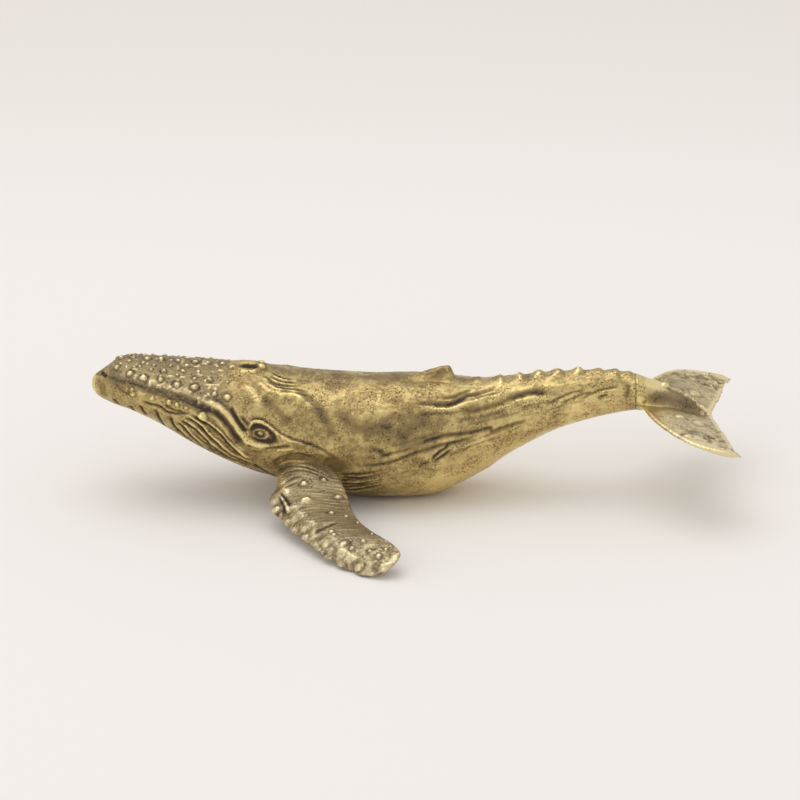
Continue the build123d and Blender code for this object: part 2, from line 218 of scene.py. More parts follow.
# %% Grid helpers
def grid_normals(points, rows, columns):
    """The way out at each point of a grid that closes round its columns."""
    block = points.reshape(rows, columns, 3)
    along = np.gradient(block, axis=0)
    round_it = np.roll(block, -1, axis=1) - np.roll(block, 1, axis=1)
    out = np.cross(along, round_it)
    out /= np.linalg.norm(out, axis=2, keepdims=True) + 1e-12
    return out.reshape(-1, 3)


def soften(values, rows, columns, reach, rounds=2):
    """Values averaged over neighbours up to reach steps away, on such a grid."""
    block = values.reshape(rows, columns)
    for _ in range(rounds):
        total = sum(np.roll(block, step, axis=1) for step in range(-reach, reach + 1))
        block = total / (2 * reach + 1)
        padded = np.pad(block, ((reach, reach), (0, 0)), mode="edge")
        total = sum(padded[step:step + rows] for step in range(2 * reach + 1))
        block = total / (2 * reach + 1)
    return block.ravel()


def grid_mesh(name, points, rows, columns):
    """A closed mesh object from such a grid, with a point in the middle of each end."""
    ends = [points[:columns].mean(axis=0), points[-columns:].mean(axis=0)]
    vertices = np.vstack([points, ends])
    ids = np.arange(rows * columns).reshape(rows, columns)
    after = np.roll(ids, -1, axis=1)
    quads = np.stack([ids[:-1], ids[1:], after[1:], after[:-1]], axis=-1).reshape(-1, 4)
    faces = quads.tolist()
    first, last = rows * columns, rows * columns + 1
    faces += [(first, a, b) for a, b in zip(ids[0], after[0])]
    faces += [(last, b, a) for a, b in zip(ids[-1], after[-1])]
    mesh = bpy.data.meshes.new(name)
    mesh.from_pydata((vertices * MM).tolist(), [], faces)
    mesh.validate()
    mesh.shade_smooth()
    piece = bpy.data.objects.new(name, mesh)
    bpy.context.scene.collection.objects.link(piece)
    return piece


def paint(piece, name, values):
    """Keeps one number for each point of a piece, for its material to read."""
    mesh = piece.data
    spare = len(mesh.vertices) - len(values)
    values = np.concatenate([values, np.full(spare, values[-1])])
    layer = mesh.attributes.new(name, "FLOAT", "POINT")
    layer.data.foreach_set("value", values.astype(np.float32))


print("points in the body's grid", len(plain))

# %% [markdown]
# Carving works like a chaser's tools. A stroke is a groove or a rib along a line, and a dot is
# a round knob or pit. Their lines are given as the camera sees them, found on the plain skin,
# and measured there in real millimetres. The port side is carved and mirrored to starboard.


# %% Carving tools
class Skin:
    """A plain skin to carve: how far each point is lifted, and how dark it is painted, by its
    patina and in places by painted shade and painted reflections.
    """

    def __init__(self, plain, out):
        self.plain = plain
        self.out = out
        self.to_port = np.array([1.0, -1.0, 1.0]) ** (plain[:, 1:2] > 0)
        self.port = plain * self.to_port
        self.seen = (out * self.to_port) @ toward_camera > 0.04
        self.view = in_view(self.port)
        self.lift = np.zeros(len(plain))
        self.dark = np.zeros(len(plain))

    def carved(self):
        """The points of the skin after all carving, none of them under the table."""
        points = self.plain + self.out * self.lift[:, None]
        points[:, 2] = np.maximum(points[:, 2], 0.0)
        return points

    def out_at(self, point):
        """The way out of the skin at the point nearest to this one, on the port side."""
        nearest = np.argmin(((self.port - point) ** 2).sum(axis=1))
        return self.out[nearest] * self.to_port[nearest]

    def find(self, places):
        """The points of the skin that the camera sees at these places."""
        visible = np.flatnonzero(self.seen)
        found = []
        for place in places:
            gap = self.view[visible] - np.array(place)
            found.append(self.port[visible[np.argmin((gap**2).sum(axis=1))]])
        return np.array(found)

    def line(self, places):
        """A smooth line on the skin through places in the view."""
        places = np.array(places, float)
        if len(places) > 2:
            steps = np.arange(len(places), dtype=float)
            fine = np.linspace(0, len(places) - 1, 5 * len(places))
            places = follow(np.column_stack([steps, places]), fine)
        else:
            places = places[0] + (places[1] - places[0]) * np.linspace(0, 1, 6)[:, None]
        line = self.find(places)
        line[1:-1] = (line[:-2] + 2 * line[1:-1] + line[2:]) / 4
        return line

    def near(self, line, reach):
        """Points within reach of a line, how far off they are, and how far along it."""
        low, high = line.min(axis=0) - reach, line.max(axis=0) + reach
        chosen = np.flatnonzero(((self.port > low) & (self.port < high)).all(axis=1))
        points = self.port[chosen]
        best = np.full(len(chosen), 1e9)
        along = np.zeros(len(chosen))
        for n in range(len(line) - 1):
            step = line[n + 1] - line[n]
            t = np.clip((points - line[n]) @ step / max(step @ step, 1e-9), 0, 1)
            gap = np.linalg.norm(points - line[n] - t[:, None] * step, axis=1)
            closer = gap < best
            best[closer] = gap[closer]
            along[closer] = ((n + t) / (len(line) - 1))[closer]
        return chosen, best, along

    def stroke(self, places, width, depth, dark=0.0, ends=(0.15, 0.15)):
        """A groove of that width and depth along a line. A depth under zero is a rib."""
        chosen, gap, along = self.near(self.line(places), 2.5 * width)
        fade = ease(0, ends[0], along + 0.02) * ease(0, ends[1], 1.02 - along)
        shape = np.exp(-((gap / width * 1.6) ** 2)) * fade
        self.lift[chosen] -= depth * shape
        self.dark[chosen] += dark * shape

    def dot(self, place, radius, height, dark=0.35, rim=0.12):
        """A knob of that radius and height, with a dark ring pressed round its foot."""
        gap = np.linalg.norm(self.port - self.find([place])[0], axis=1)
        chosen = np.flatnonzero(gap < 2.5 * radius)
        uneven = 1 + 0.35 * hills(self.port[chosen], 1.1 * radius, 3)
        ratio = gap[chosen] / (radius * uneven)
        dome = np.clip(1 - ratio**2, 0, 1) ** 0.8
        ring = np.exp(-(((ratio - 1.2) / 0.28) ** 2))
        self.lift[chosen] += height * dome - rim * ring
        self.dark[chosen] += dark * ring * (0.4 + uneven / 2)


def shifted(places, across, down):
    """The same places, moved across and down in the view."""
    return [(x + across, y + down) for x, y in places]


print("dots of the view to a millimetre", round(view_size / view_width, 2))

# %% [markdown]
# The dorsal fin and the row of knuckles behind it are part of the body's casting. They could be
# pieces of their own, but then a seam would show. So they are raised from the middle of the
# back, like clay pinched up between two fingers: the profile sets how high, and the sides lean
# in. The low mound that carries the blowhole is raised in the same way.

# %% Fin and knuckles
fin_profile = [
    (-3.2, 0.0), (0.0, 0.7), (3.6, 1.9), (6.0, 2.8), (7.4, 3.1), (8.6, 3.15), (9.1, 2.5),
    (9.5, 1.3), (10.1, 0.5), (11.4, 0.15), (12.8, 0.0),
]
knuckle_peaks = [15.8, 21.0, 26.0, 31.0, 35.7, 40.7, 45.6, 49.7, 53.2]
before_first_knuckle, after_last_knuckle = 5.2, 3.0
knuckle_rise = 0.9
knuckle_lean = 0.72
mound_x, mound_reach, mound_rise = -40.6, 4.6, 1.3


def pinch(half_base, half_top, aside):
    """How much of a crest's height there is at a distance from the middle plane."""
    return 1 - ease(half_top, half_base, aside)


x_of, aside_of = plain[:, 0], np.abs(plain[:, 1])
upper = plain[:, 2] > follow(body_stations, share_of)[:, 0] * body_height
fin_height = follow(fin_profile, x_of)[:, 0]
crest = np.where(upper, fin_height * pinch(2.9, 0.5, aside_of), 0.0)
for n, peak in enumerate(knuckle_peaks):
    last_one = n + 1 == len(knuckle_peaks)
    before = peak - (knuckle_peaks[n - 1] if n else peak - before_first_knuckle)
    after = (peak + after_last_knuckle if last_one else knuckle_peaks[n + 1]) - peak
    rise = ease(peak - knuckle_lean * before, peak, x_of)
    fall = 1 - ease(peak, peak + (1 - knuckle_lean) * after, x_of)
    tooth = rise * fall * knuckle_rise * (1 - 0.05 * n)
    crest += np.where(upper, tooth * pinch(3.6, 0.3, aside_of), 0.0)
blowhole_mound = mound_rise * np.exp(-np.abs((x_of - mound_x) / mound_reach) ** 3)
crest += np.where(upper, blowhole_mound * pinch(6.0, 0.5, aside_of), 0.0)
modelled = plain + crest[:, None] * np.array([0.0, 0.0, 1.0])
body = Skin(modelled, grid_normals(modelled, rings, around))
print("crest rises by", round(float(crest.max()), 2), "mm")

# %% [markdown]
# The mouth is a soft valley under the upper lip. The lip itself is a rolled ridge that runs
# back over the valley, turns down before the eye and ends under it. The jaws could be cut apart
# with a boolean, but the real mouth is only a groove in one casting, so it is carved.

# %% Mouth and lips
mouth_line = [
    (103, 375), (110, 377), (116, 380), (123, 382), (131, 383.5), (139, 386), (146, 388.5),
    (155, 391), (165, 393.7), (174, 396.3), (185, 399), (194, 402.5), (202, 406), (211, 409),
    (218, 413.8), (224.5, 419), (230, 426), (234, 433.7), (238.5, 441.3), (243.5, 447.4),
]
lip_line = [
    (175, 391), (188, 394.5), (201.7, 400.5), (210.9, 403.8), (218.6, 407.7), (225.4, 413.8),
    (230.8, 419.9), (236.2, 428.3), (241.5, 435.2), (246, 440.5), (250.5, 443.4),
    (256.8, 445.9), (264.5, 446.2), (273.7, 445.2),
]
jaw_rim_line = [
    (207, 412), (214, 416), (220, 423), (225.4, 431), (230.8, 438.8), (236.9, 446.4),
    (243, 453.6), (248, 458.3),
]
body.stroke(mouth_line, 2.8, 0.42, 0.3, (0.1, 0.12))
body.stroke(mouth_line[:11], 0.8, 0.15, 0.12, (0.05, 0.4))
body.stroke(shifted(mouth_line[5:17], -1.5, 2.6), 0.5, 0.12, 0.2, (0.2, 0.2))
body.stroke(mouth_line[9:], 3.6, 0.3, 0.25, (0.3, 0.15))
body.stroke(shifted(mouth_line[2:12], 0, -7.5), 1.6, -0.3, -0.25, (0.3, 0.2))
body.stroke(lip_line, 1.5, -0.75, -0.6, (0.3, 0.15))
body.stroke(shifted(lip_line[2:10], 1.5, -5.5), 1.0, 0.25, 0.25, (0.3, 0.2))
body.stroke(jaw_rim_line, 1.0, -0.3, -0.2, (0.2, 0.1))
# The chin's bright rim, the notch where the mouth begins and a crease below it
body.stroke([(96, 372), (94.5, 380), (95.5, 388), (99, 396)], 2.0, -0.45, -0.45, (0.3, 0.3))
body.stroke([(101, 371), (103, 374), (106, 376)], 0.8, 0.5, 0.5, (0.2, 0.2))
body.stroke([(113, 383), (119, 388.6), (124.5, 393), (130, 395)], 0.6, 0.2, 0.3)
mouth_steps = np.linalg.norm(np.diff(body.line(mouth_line), axis=0), axis=1)
print("mouth groove", round(float(mouth_steps.sum()), 1), "mm long")

# %% [markdown]
# The throat pleats let a whale's throat swell. On the casting each is a groove with a thin
# raised edge and a fine line beside it. Near the chin they are short slanting cuts. Further
# back they are long and draw together under the belly. A bump map could hint at them, but
# carved ones also cast shadows and show in the outline.

# %% Throat pleats
chin_cuts = [
    [(95.2, 391.8), (99.5, 396), (105.4, 400.2)],
    [(112.4, 398.8), (115, 401), (118.5, 404.2)],
    [(129, 405.4), (131.5, 408), (134.5, 411.4)],
    [(139.2, 404.8), (142.4, 410.3), (146.6, 415.8)],
    [(154.8, 408.4), (157.7, 416), (161.5, 422.4), (166.5, 427.5)],
    [(169, 413.8), (171.7, 421.8), (174.8, 427.5), (181, 434.4)],
]
pleats = [
    [(190, 414), (199.4, 420.7), (207.8, 425.2), (214, 429.8), (220, 435.2), (226.2, 442.8),
     (232.3, 449), (240, 455), (248.4, 460.8)],
    [(184, 417.2), (194, 422.2), (201.7, 428.3), (207.8, 436), (214, 441.3), (221.6, 449),
     (230.8, 455.9), (241.5, 461), (250, 464.2)],
    [(179, 420), (188, 425.2), (195.6, 430.5), (203.3, 438.2), (209.4, 444.6), (217, 450.7),
     (226.2, 456.4), (236.2, 461.6), (248.5, 466)],
    [(176, 421.5), (183.8, 428.3), (190.5, 436.5), (197.2, 442.6), (206, 449.5),
     (216.6, 456), (229.8, 462.2), (244, 467.4)],
    [(176, 427.5), (183, 434.5), (191, 441), (200, 447.5), (211, 454.3), (224, 461), (240, 467)],
]
jaw_crease = [
    (141, 400.7), (146.2, 402.6), (151.3, 404.5), (157.7, 405.8), (162.8, 409), (167.9, 412.3),
    (175.6, 413.9), (183.4, 413.6), (191, 414.2),
]
for cut in chin_cuts:
    body.stroke(cut, 0.7, 0.4, 0.65, (0.3, 0.2))
for pleat in pleats:
    body.stroke(pleat, 0.62, 0.45, 0.6, (0.12, 0.08))
    body.stroke(shifted(pleat, 1.7, -1.7), 0.4, -0.22, -0.45, (0.2, 0.1))
    body.stroke(shifted(pleat[1:], 3.0, -3.0), 0.4, 0.2, 0.5, (0.3, 0.1))
    body.stroke(shifted(pleat[1:], -2.0, 1.6), 0.35, 0.12, 0.35, (0.3, 0.1))
print("throat cuts", len(chin_cuts), "and pleats", len(pleats))
# Creases along the jaw, and two where the throat meets the flipper
body.stroke(jaw_crease, 0.6, 0.35, 0.55, (0.2, 0.15))
body.stroke([(165, 405.4), (169.6, 408.4), (175.7, 410.7), (183.4, 411.4)], 0.5, 0.3, 0.6)
body.stroke([(253.5, 464.5), (260, 468.5), (268, 473), (275, 475.5)], 0.8, 0.4, 0.7)
body.stroke([(250, 468.5), (258, 471), (268, 474.6)], 0.6, 0.35, 0.7)

# %% [markdown]
# The eye: an almond hollow, darkened deep, with a bright ring and a bead in it. The upper lid
# runs on behind it as a long fold. The eye is too small for strokes, so its forms are worked
# out from how far each point lies ahead of the eye's middle and above it.

# %% Eye
eye_depth = 0.55
almond_front, almond_back, almond_height = 4.9, 3.0, 2.55
iris_width, iris_height, bead_radius = 1.85, 1.15, 0.75
eye_centre = body.find([(260.2, 434.3)])[0]
eye_ahead = body.find([(268.2, 436.0)])[0] - body.find([(252.2, 432.5)])[0]
eye_ahead /= np.linalg.norm(eye_ahead)
eye_across = np.cross(eye_ahead, body.out_at(eye_centre))
eye_across /= np.linalg.norm(eye_across)
from_eye = body.port - eye_centre
eye_u, eye_v = from_eye @ eye_ahead, from_eye @ eye_across
if eye_across[2] <= 0:
    eye_v = -eye_v
around_eye = np.linalg.norm(from_eye, axis=1) < 8
almond_length = np.where(eye_u > 0, almond_front, almond_back)
slanted_v = np.abs(eye_v + 0.18 * eye_u)
almond = np.sqrt((eye_u / almond_length) ** 2 + (slanted_v / almond_height) ** 2)
hollow = np.where(around_eye, 1 - ease(0.72, 1.05, almond), 0.0)
body.lift -= eye_depth * hollow
body.dark += (0.75 + 0.35 * hills(body.port, 0.7, 33)) * hollow
iris = np.sqrt((eye_u / iris_width) ** 2 + ((eye_v + 0.15) / iris_height) ** 2)
ring = np.where(around_eye, np.exp(-(((iris - 1) / 0.3) ** 2)), 0.0)
body.lift += 0.38 * ring
body.dark -= (0.7 + 0.6 * hills(body.port, 0.9, 34)) * ring
bead_gap = np.sqrt(eye_u**2 + (eye_v * 1.3) ** 2) / bead_radius
bead = np.where(around_eye, np.sqrt(np.clip(1 - bead_gap**2, 0, 1)), 0.0)
body.lift += 0.4 * bead
body.dark -= 0.75 * bead
print("eye hollow is", round(float(hollow.max() * eye_depth), 2), "mm deep")

# %% [markdown]
# The lids and the skin folds round the eye are single strokes, each dark groove with a bright
# edge beside it, because a chisel throws up such an edge.

# %% Eyelids
lid_line = [
    (249.7, 423.8), (252.9, 421.2), (257.3, 420.6), (263, 421.8), (268.2, 425), (273.3, 428.9),
    (278.4, 433.4), (283.5, 436.6), (289.2, 439.2), (296.2, 441.4), (302.6, 443.6), (309, 446),
    (317.9, 449.2), (326, 453.5), (335, 459.5), (345, 465.5),
]
body.stroke(shifted(lid_line, 0, -1.5), 0.5, 0.3, 0.55, (0.08, 0.3))
body.stroke(shifted(lid_line[:12], 0, 0.6), 0.55, -0.35, -0.5, (0.08, 0.3))
# The lower lid and its folds, then two folds ahead of the eye
body.stroke([(246.5, 444.8), (251.6, 445.4), (256.7, 447.4), (260.5, 448.2)], 0.6, 0.3, 0.6)
body.stroke([(263, 448.8), (272, 447.8), (281, 447.2), (291, 446.3)], 0.45, 0.25, 0.5)
body.stroke([(275, 449.5), (284, 449.8), (295, 448.6)], 0.45, -0.22, -0.3)
body.stroke([(230.8, 406), (233.9, 413.8), (238.5, 422.2), (243, 428.3), (246.9, 431.4)],
            0.75, 0.35, 0.6)
body.stroke([(240, 415.3), (244.6, 420.7), (249.4, 425.4)], 0.6, 0.3, 0.6, (0.3, 0.05))
print("upper lid has", len(lid_line), "places")

# %% [markdown]
# The blowhole: a slit each side of a low mound on the crown, and fold lines behind it. The slit
# is the deepest cut on the whale, so it is also the darkest.

# %% Blowhole and folds
# The slit, its lower rim and a bump at each end
body.stroke([(235, 364.2), (243, 365), (250, 365.6), (260, 365.6)], 1.2, 0.7, 1.5, (0.6, 0.25))
body.stroke([(240, 369.6), (247, 370.6), (258, 370.6)], 0.8, -0.15, -0.1)
body.dot((262.6, 366), 1.0, 0.5, 0.25)
body.dot((231.4, 366.4), 0.8, 0.3, 0.15)
fold_lines = [
    [(271.6, 372.2), (277.9, 375.5), (284.9, 378.4), (292.6, 379.4)],
    [(270.9, 375.5), (276, 378.7), (282.4, 381.3), (290.7, 382.5), (297, 383.2)],
    [(263.3, 375.2), (269, 378.7), (274.7, 382.5), (281, 384.4), (288.8, 385.7), (301, 386.6)],
    [(262.6, 378), (269.6, 381.9), (276, 385.7), (283, 387.9), (291, 388.7), (300, 390.2),
     (311, 393.2)],
]
for n, fold in enumerate(fold_lines):
    body.stroke(fold, 0.5 + 0.03 * n, 0.3, 0.5, (0.25, 0.25))
    body.stroke(shifted(fold, -1.2, 1.9), 0.4, -0.18, -0.3, (0.25, 0.25))
body.stroke([(280, 390), (289, 391.5), (300, 393), (310, 396)], 0.6, 0.3, 0.5, (0.3, 0.3))
body.stroke([(258, 381), (264, 386), (270, 390), (278, 393), (288, 396)], 1.0, -0.2, -0.25)
print("folds behind the blowhole", len(fold_lines))

# %% [markdown]
# Tubercles: rows of round knobs along the lips, crown and jaw, each with a pressed ring. They
# could be small balls joined on, but the real ones grow out of the skin, so the skin is lifted.
# Between them the crown is crumbly and aged dark.

# %% Tubercles
lip_knobs = [(116, 367), (130, 373), (144, 378), (161, 379.5), (177, 384.5), (194.5, 387.5),
             (215, 393.5), (227, 397)]
crown_knobs = [(134, 367), (151, 369.5), (163, 371), (177, 375), (195, 378), (210, 380),
               (227, 382), (129, 361), (144, 362.5), (154, 365), (171, 365.5), (187, 366.5),
               (217, 366.5), (199, 371.5), (183, 371), (140, 366)]
ridge_knobs = [(121, 356), (133, 355), (147, 355.5), (161, 358), (178, 360), (195, 360.5),
               (208, 361), (223, 361.5)]
jaw_knobs = [(131, 390), (132.3, 394.3), (152.6, 398.2), (167.9, 402.8), (176.8, 404.5)]
# Their sizes take turns: smallest radius, what each turn adds and the number of turns
for places, smallest, added, turns, height, darker, rim in [
    (lip_knobs, 0.76, 0.1, 3, 0.5, 0.4, 0.12),
    (crown_knobs, 0.44, 0.12, 3, 0.34, 0.35, 0.1),
    (ridge_knobs, 0.62, 0.12, 3, 0.5, 0.35, 0.1),
    (jaw_knobs, 0.6, 0.12, 2, 0.32, 0.25, 0.08),
]:
    for n, place in enumerate(places):
        body.dot(place, smallest + added * (n % turns), height, darker, rim)
# Two more stand by the crease of the jaw
body.dot((202.5, 416.3), 1.1, 0.3, 0.4, 0.12)
body.dot((185.7, 408.4), 0.5, 0.3, 0.2)
print("tubercles a side", len(lip_knobs + crown_knobs + ridge_knobs + jaw_knobs) + 2)
up_from_side = np.degrees(np.arcsin(np.clip(np.sin(np.radians(angle_of)), -1, 1)))
crown_part = (1 - ease(0.22, 0.27, share_of)) * ease(0.02, 0.05, share_of)
crown_part *= ease(14, 30, up_from_side)
crumb = np.clip(hills(body.port, 0.85, 41) - 0.25, 0, 1)
body.lift += 0.5 * crumb * crown_part
body.dark += crown_part * (0.26 - 0.7 * crumb)

# %% [markdown]
# Flank: long creases where the skin folds as the tail lifts, a deep double cut low on the
# side, and slanting cuts on the tail stock. A noise texture can't place them as a chaser would,
# so each one is drawn: its places, width, depth and how dark it is. A slow noise then breaks up
# their darkness, as rubbing does.

# %% Creases of the flank and tail stock
creases = [
    ([(411, 403.5), (434, 404.9), (450, 404.9), (458.2, 400.9), (466.8, 396.2), (478.8, 393.6),
      (491, 389.6), (497, 388)], 1.1, 0.4, 0.6),
    ([(452, 408), (473.5, 410.6), (493.6, 405.6), (507, 400.3), (520.4, 394.9), (533.7, 392.4),
      (553.8, 393.6), (567.2, 393.6)], 1.5, 0.4, 0.45),
    ([(506, 398.5), (520.4, 394.5), (535, 392.4), (548, 392)], 1.5, 0.3, 0.5),
    ([(335, 413), (345.7, 421), (359, 428), (371, 429), (387, 426.3), (395.3, 425)], 2.4, 0.3, 0.3),
    ([(353.7, 466.5), (373.8, 465.2), (393.9, 461.2), (411.3, 454.5), (434, 447.8),
      (454.2, 442.4), (470, 438.4), (484, 436)], 0.7, 0.3, 0.55),
    ([(414, 446.4), (427.4, 441), (440.8, 437), (453.4, 435), (473.5, 432.4), (489.5, 428),
      (493.6, 431), (507, 426.6), (525.7, 420.4), (538, 415.6)], 0.8, 0.38, 0.65),
    ([(430.5, 460.5), (440.5, 451.5), (451.5, 443.5)], 0.6, 0.45, 0.8),
    ([(434, 462.5), (443, 455.5), (452, 449.5)], 0.6, 0.45, 0.8),
    ([(377, 458.5), (391, 453.5), (405, 450.5), (414, 446.5)], 0.5, 0.2, 0.5),
    ([(459, 452), (472, 446), (488, 440.5), (502, 437)], 0.5, 0.18, 0.45),
    ([(420, 414.5), (433, 414), (447, 413.5), (460, 412.5)], 0.8, 0.2, 0.3),
    ([(440, 397.5), (452, 397), (463, 392.5), (474, 389.5)], 0.7, 0.25, 0.45),
    ([(464, 402.5), (477, 398), (489, 394.8), (500, 391.5)], 0.6, 0.25, 0.5),
    ([(418, 467.5), (424, 463.5), (429, 461)], 0.6, 0.25, 0.5),
    ([(369.8, 451.8), (377.9, 450.8), (384.5, 455.4), (393.9, 453.1)], 0.8, 0.25, 0.5),
    ([(547, 404.3), (560.5, 397.6), (574, 392.2), (587.3, 390.6)], 0.7, 0.3, 0.7),
    ([(560.5, 404.3), (574, 397.6), (584.6, 393.6), (594, 391.6)], 0.7, 0.32, 0.7),
    ([(579.3, 400.3), (594, 392.4), (607.4, 388.4), (620.8, 386.9)], 0.7, 0.32, 0.7),
    ([(596.7, 399), (602, 396.6), (608, 394.6)], 0.7, 0.3, 0.8),
    ([(520, 409), (531, 405.5), (543, 402.5), (556, 401)], 0.6, 0.2, 0.4),
    ([(455, 421), (468, 418.5), (482, 417), (497, 413), (510, 408)], 0.9, 0.2, 0.3),
    ([(628.8, 384), (628, 391), (627.2, 401)], 0.8, 0.3, 0.5),
    ([(300, 395), (312, 403), (322, 414), (330, 428), (336, 441)], 2.2, 0.3, 0.25),
    ([(262, 396), (272, 406), (283, 417), (290, 427)], 2.2, 0.3, 0.25),
    ([(395, 440), (408, 433), (420, 424), (433, 418)], 2.0, 0.25, 0.2),
    ([(424, 374.5), (436, 371.5), (447, 369.5)], 0.4, 0.12, 0.4),
    ([(430, 376.5), (440, 374), (449, 372.5)], 0.4, 0.12, 0.4),
    ([(392, 447), (408, 442), (424, 437), (440, 431)], 0.4, 0.12, 0.35),
    ([(460, 446), (478, 439), (496, 433), (514, 427)], 0.4, 0.12, 0.35),
    ([(500, 419), (516, 413), (532, 408), (548, 405)], 0.4, 0.12, 0.35),
    ([(540, 413), (556, 408), (572, 403), (590, 400)], 0.4, 0.12, 0.3),
    ([(470, 425), (486, 421), (500, 417), (512, 412)], 0.5, 0.12, 0.3),
]
broken = 0.7 + 0.45 * hills(body.port, 1.4, 51)
dark_before = body.dark.copy()
for line, width, depth, darker in creases:
    body.stroke(line, width, 0.9 * depth, 0.85 * darker, (0.2, 0.25))
body.dark = dark_before + (body.dark - dark_before) * broken
print("creases a side", len(creases))

# %% [markdown]
# Ribs stand up between the creases, short cuts fan out behind the flipper, and fine arcs run
# round its root, where wax was smoothed over the joint.

# %% Ribs, cuts and bands
ribs = [
    ([(411, 407), (434, 408.2), (450, 408.6), (466, 403), (480, 398.5), (497, 394)], 1.2, 0.35),
    ([(500, 376), (500.5, 381), (501, 387)], 0.7, 0.3),
    ([(519, 372), (519.5, 376), (520, 381)], 0.7, 0.3),
    ([(540, 370), (537, 375), (533, 381)], 0.8, 0.3),
    ([(559, 369), (556, 374), (552, 379)], 0.8, 0.3),
    ([(579, 368), (577, 372), (574, 377)], 0.8, 0.3),
    ([(286, 390), (297, 396), (309, 404), (318, 414)], 1.6, 0.3),
    ([(246, 383), (252, 392), (258, 402), (262, 412)], 1.8, 0.3),
]
for line, width, height in ribs:
    body.stroke(line, width, -height, -0.3, (0.25, 0.4))
# Cuts that fan out behind the flipper
for n in range(6):
    start = (340 + 2 * (n % 2), 474 + 3.0 * n)
    bend = (360, 474.4 + 2.75 * n + (n % 2))
    end = (384 + 3 * (n % 3), 470.5 + 2.5 * n)
    body.stroke([start, bend, end], 0.62, 0.34, 0.7, (0.05, 0.5))
    body.stroke(shifted((start, bend, end), 0, 1.4), 0.4, -0.15, -0.3, (0.05, 0.5))
# Arcs round the flipper's root, and a wide shallow groove behind them
for n in range(3):
    arc = [(275 - 1.5 * n, 468 - 2 * n), (280 - n, 463 - 2.3 * n), (289, 459.8 - 2.5 * n),
           (300, 459 - 2.6 * n), (311, 460.4 - 2.2 * n), (321, 464 - 1.6 * n)]
    body.stroke(arc, 0.45, 0.22, 0.5, (0.1, 0.45))
body.stroke([(324, 458), (330, 462), (337, 467), (343, 472)], 2.6, 0.2, 0.3, (0.3, 0.3))
# A painted shade lies as a dark band along the middle of the flank, and a painted reflection of the
# pale table as a bright band under it
body.stroke([(330, 428), (380, 436), (430, 434), (480, 421), (530, 405)], 9.0, 0.0, 0.22,
            (0.3, 0.3))
body.stroke([(400, 490), (450, 477), (500, 456), (550, 430), (600, 411), (630, 403)], 7.0, 0.0,
            -0.5, (0.2, 0.2))
print("ribs a side", len(ribs))

# %% [markdown]
# The casting is not smooth between the carved lines: it has small waves from the wax model, a
# fine rubbed grain and streaks along the tail stock. The belly is rubbed smooth, and it is painted
# bright as a painted reflection of the pale table.

# %% Waves, grain and streaks
wear = hills(body.plain, 1.1, 5) * 0.5 + hills(body.plain, 0.55, 6) * 0.5
trunk_part = ease(0.22, 0.36, share_of)
below_middle = follow(body_stations, share_of)[:, 0] * body_height - body.plain[:, 2]
belly_part = ease(0.50, 0.62, share_of) * ease(4, 10, below_middle)
body.lift += wear * (0.05 + 0.08 * trunk_part) * (1 - 0.7 * belly_part)
body.lift += hills(body.port, 4.5, 7) * 0.1 * trunk_part
body.lift += hills(body.port * np.array([0.45, 1.0, 1.0]), 4.0, 8) * 0.16 * trunk_part
body.dark += 0.3 * hills(body.port * np.array([0.6, 1.0, 1.0]), 3.0, 10) * trunk_part
# Painted reflection: the belly and low flank are painted brighter, as the pale table lights them
body.dark -= 0.9 * belly_part
# Painted light: the tail stock is painted lighter towards the flukes
body.dark -= 0.35 * ease(0.6, 0.76, share_of)
along_skin = hills(body.port * np.array([0.13, 1.0, 1.0]), 0.9, 9)
streaked = ease(0.42, 0.62, share_of) * (1 - 0.5 * belly_part)
body.lift += along_skin * 0.1 * streaked
body.dark += np.clip(along_skin, 0, 1) * 0.35 * streaked
print("body carving from", round(float(body.lift.min()), 2), "to", round(float(body.lift.max()), 2))

# %% [markdown]
# Patina stays in the hollows and is rubbed off the high spots. Blender's pointiness could find
# them in the shader, but it is lost on export. So it is worked out from the carving: a point
# under the mean of its neighbours is a hollow, and one above it is a high spot. The tone says
# where the patina is the pale one: on the crown and by the flippers' roots.


# %% Body piece
def finish_skin(skin, rows, columns):
    """Dark in the hollows and bright on the high spots, from the carving itself."""
    near_mean = soften(skin.lift, rows, columns, reach=3)
    wide_mean = soften(skin.lift, rows, columns, reach=9)
    hollow = (near_mean - skin.lift) * 1.7 + (wide_mean - skin.lift) * 0.5
    aged = 0.6 * skin.dark + hollow
    return np.clip(np.where(aged < 0, 0.55 * aged, aged), -0.7, 1.1)


body_piece = grid_mesh("whale_body", body.carved(), rings, around)
# This patina also holds the painted shade and painted reflections of the flank, belly and tail
# stock
paint(body_piece, "patina", finish_skin(body, rings, around))
flipper_root = np.array([-26.0, -14.0, 6.0])
root_part = 1 - ease(4, 9, np.linalg.norm(body.port - flipper_root, axis=1))
paint(body_piece, "tone", np.clip(0.7 * crown_part + 0.8 * root_part, 0, 1))
print("body faces", len(body_piece.data.polygons))

# %% [markdown]
# The flippers are long blades. Each row of the table is one section: how far out it is, where
# its leading and trailing edges lie and how thick it is, the same as in the CAD model.

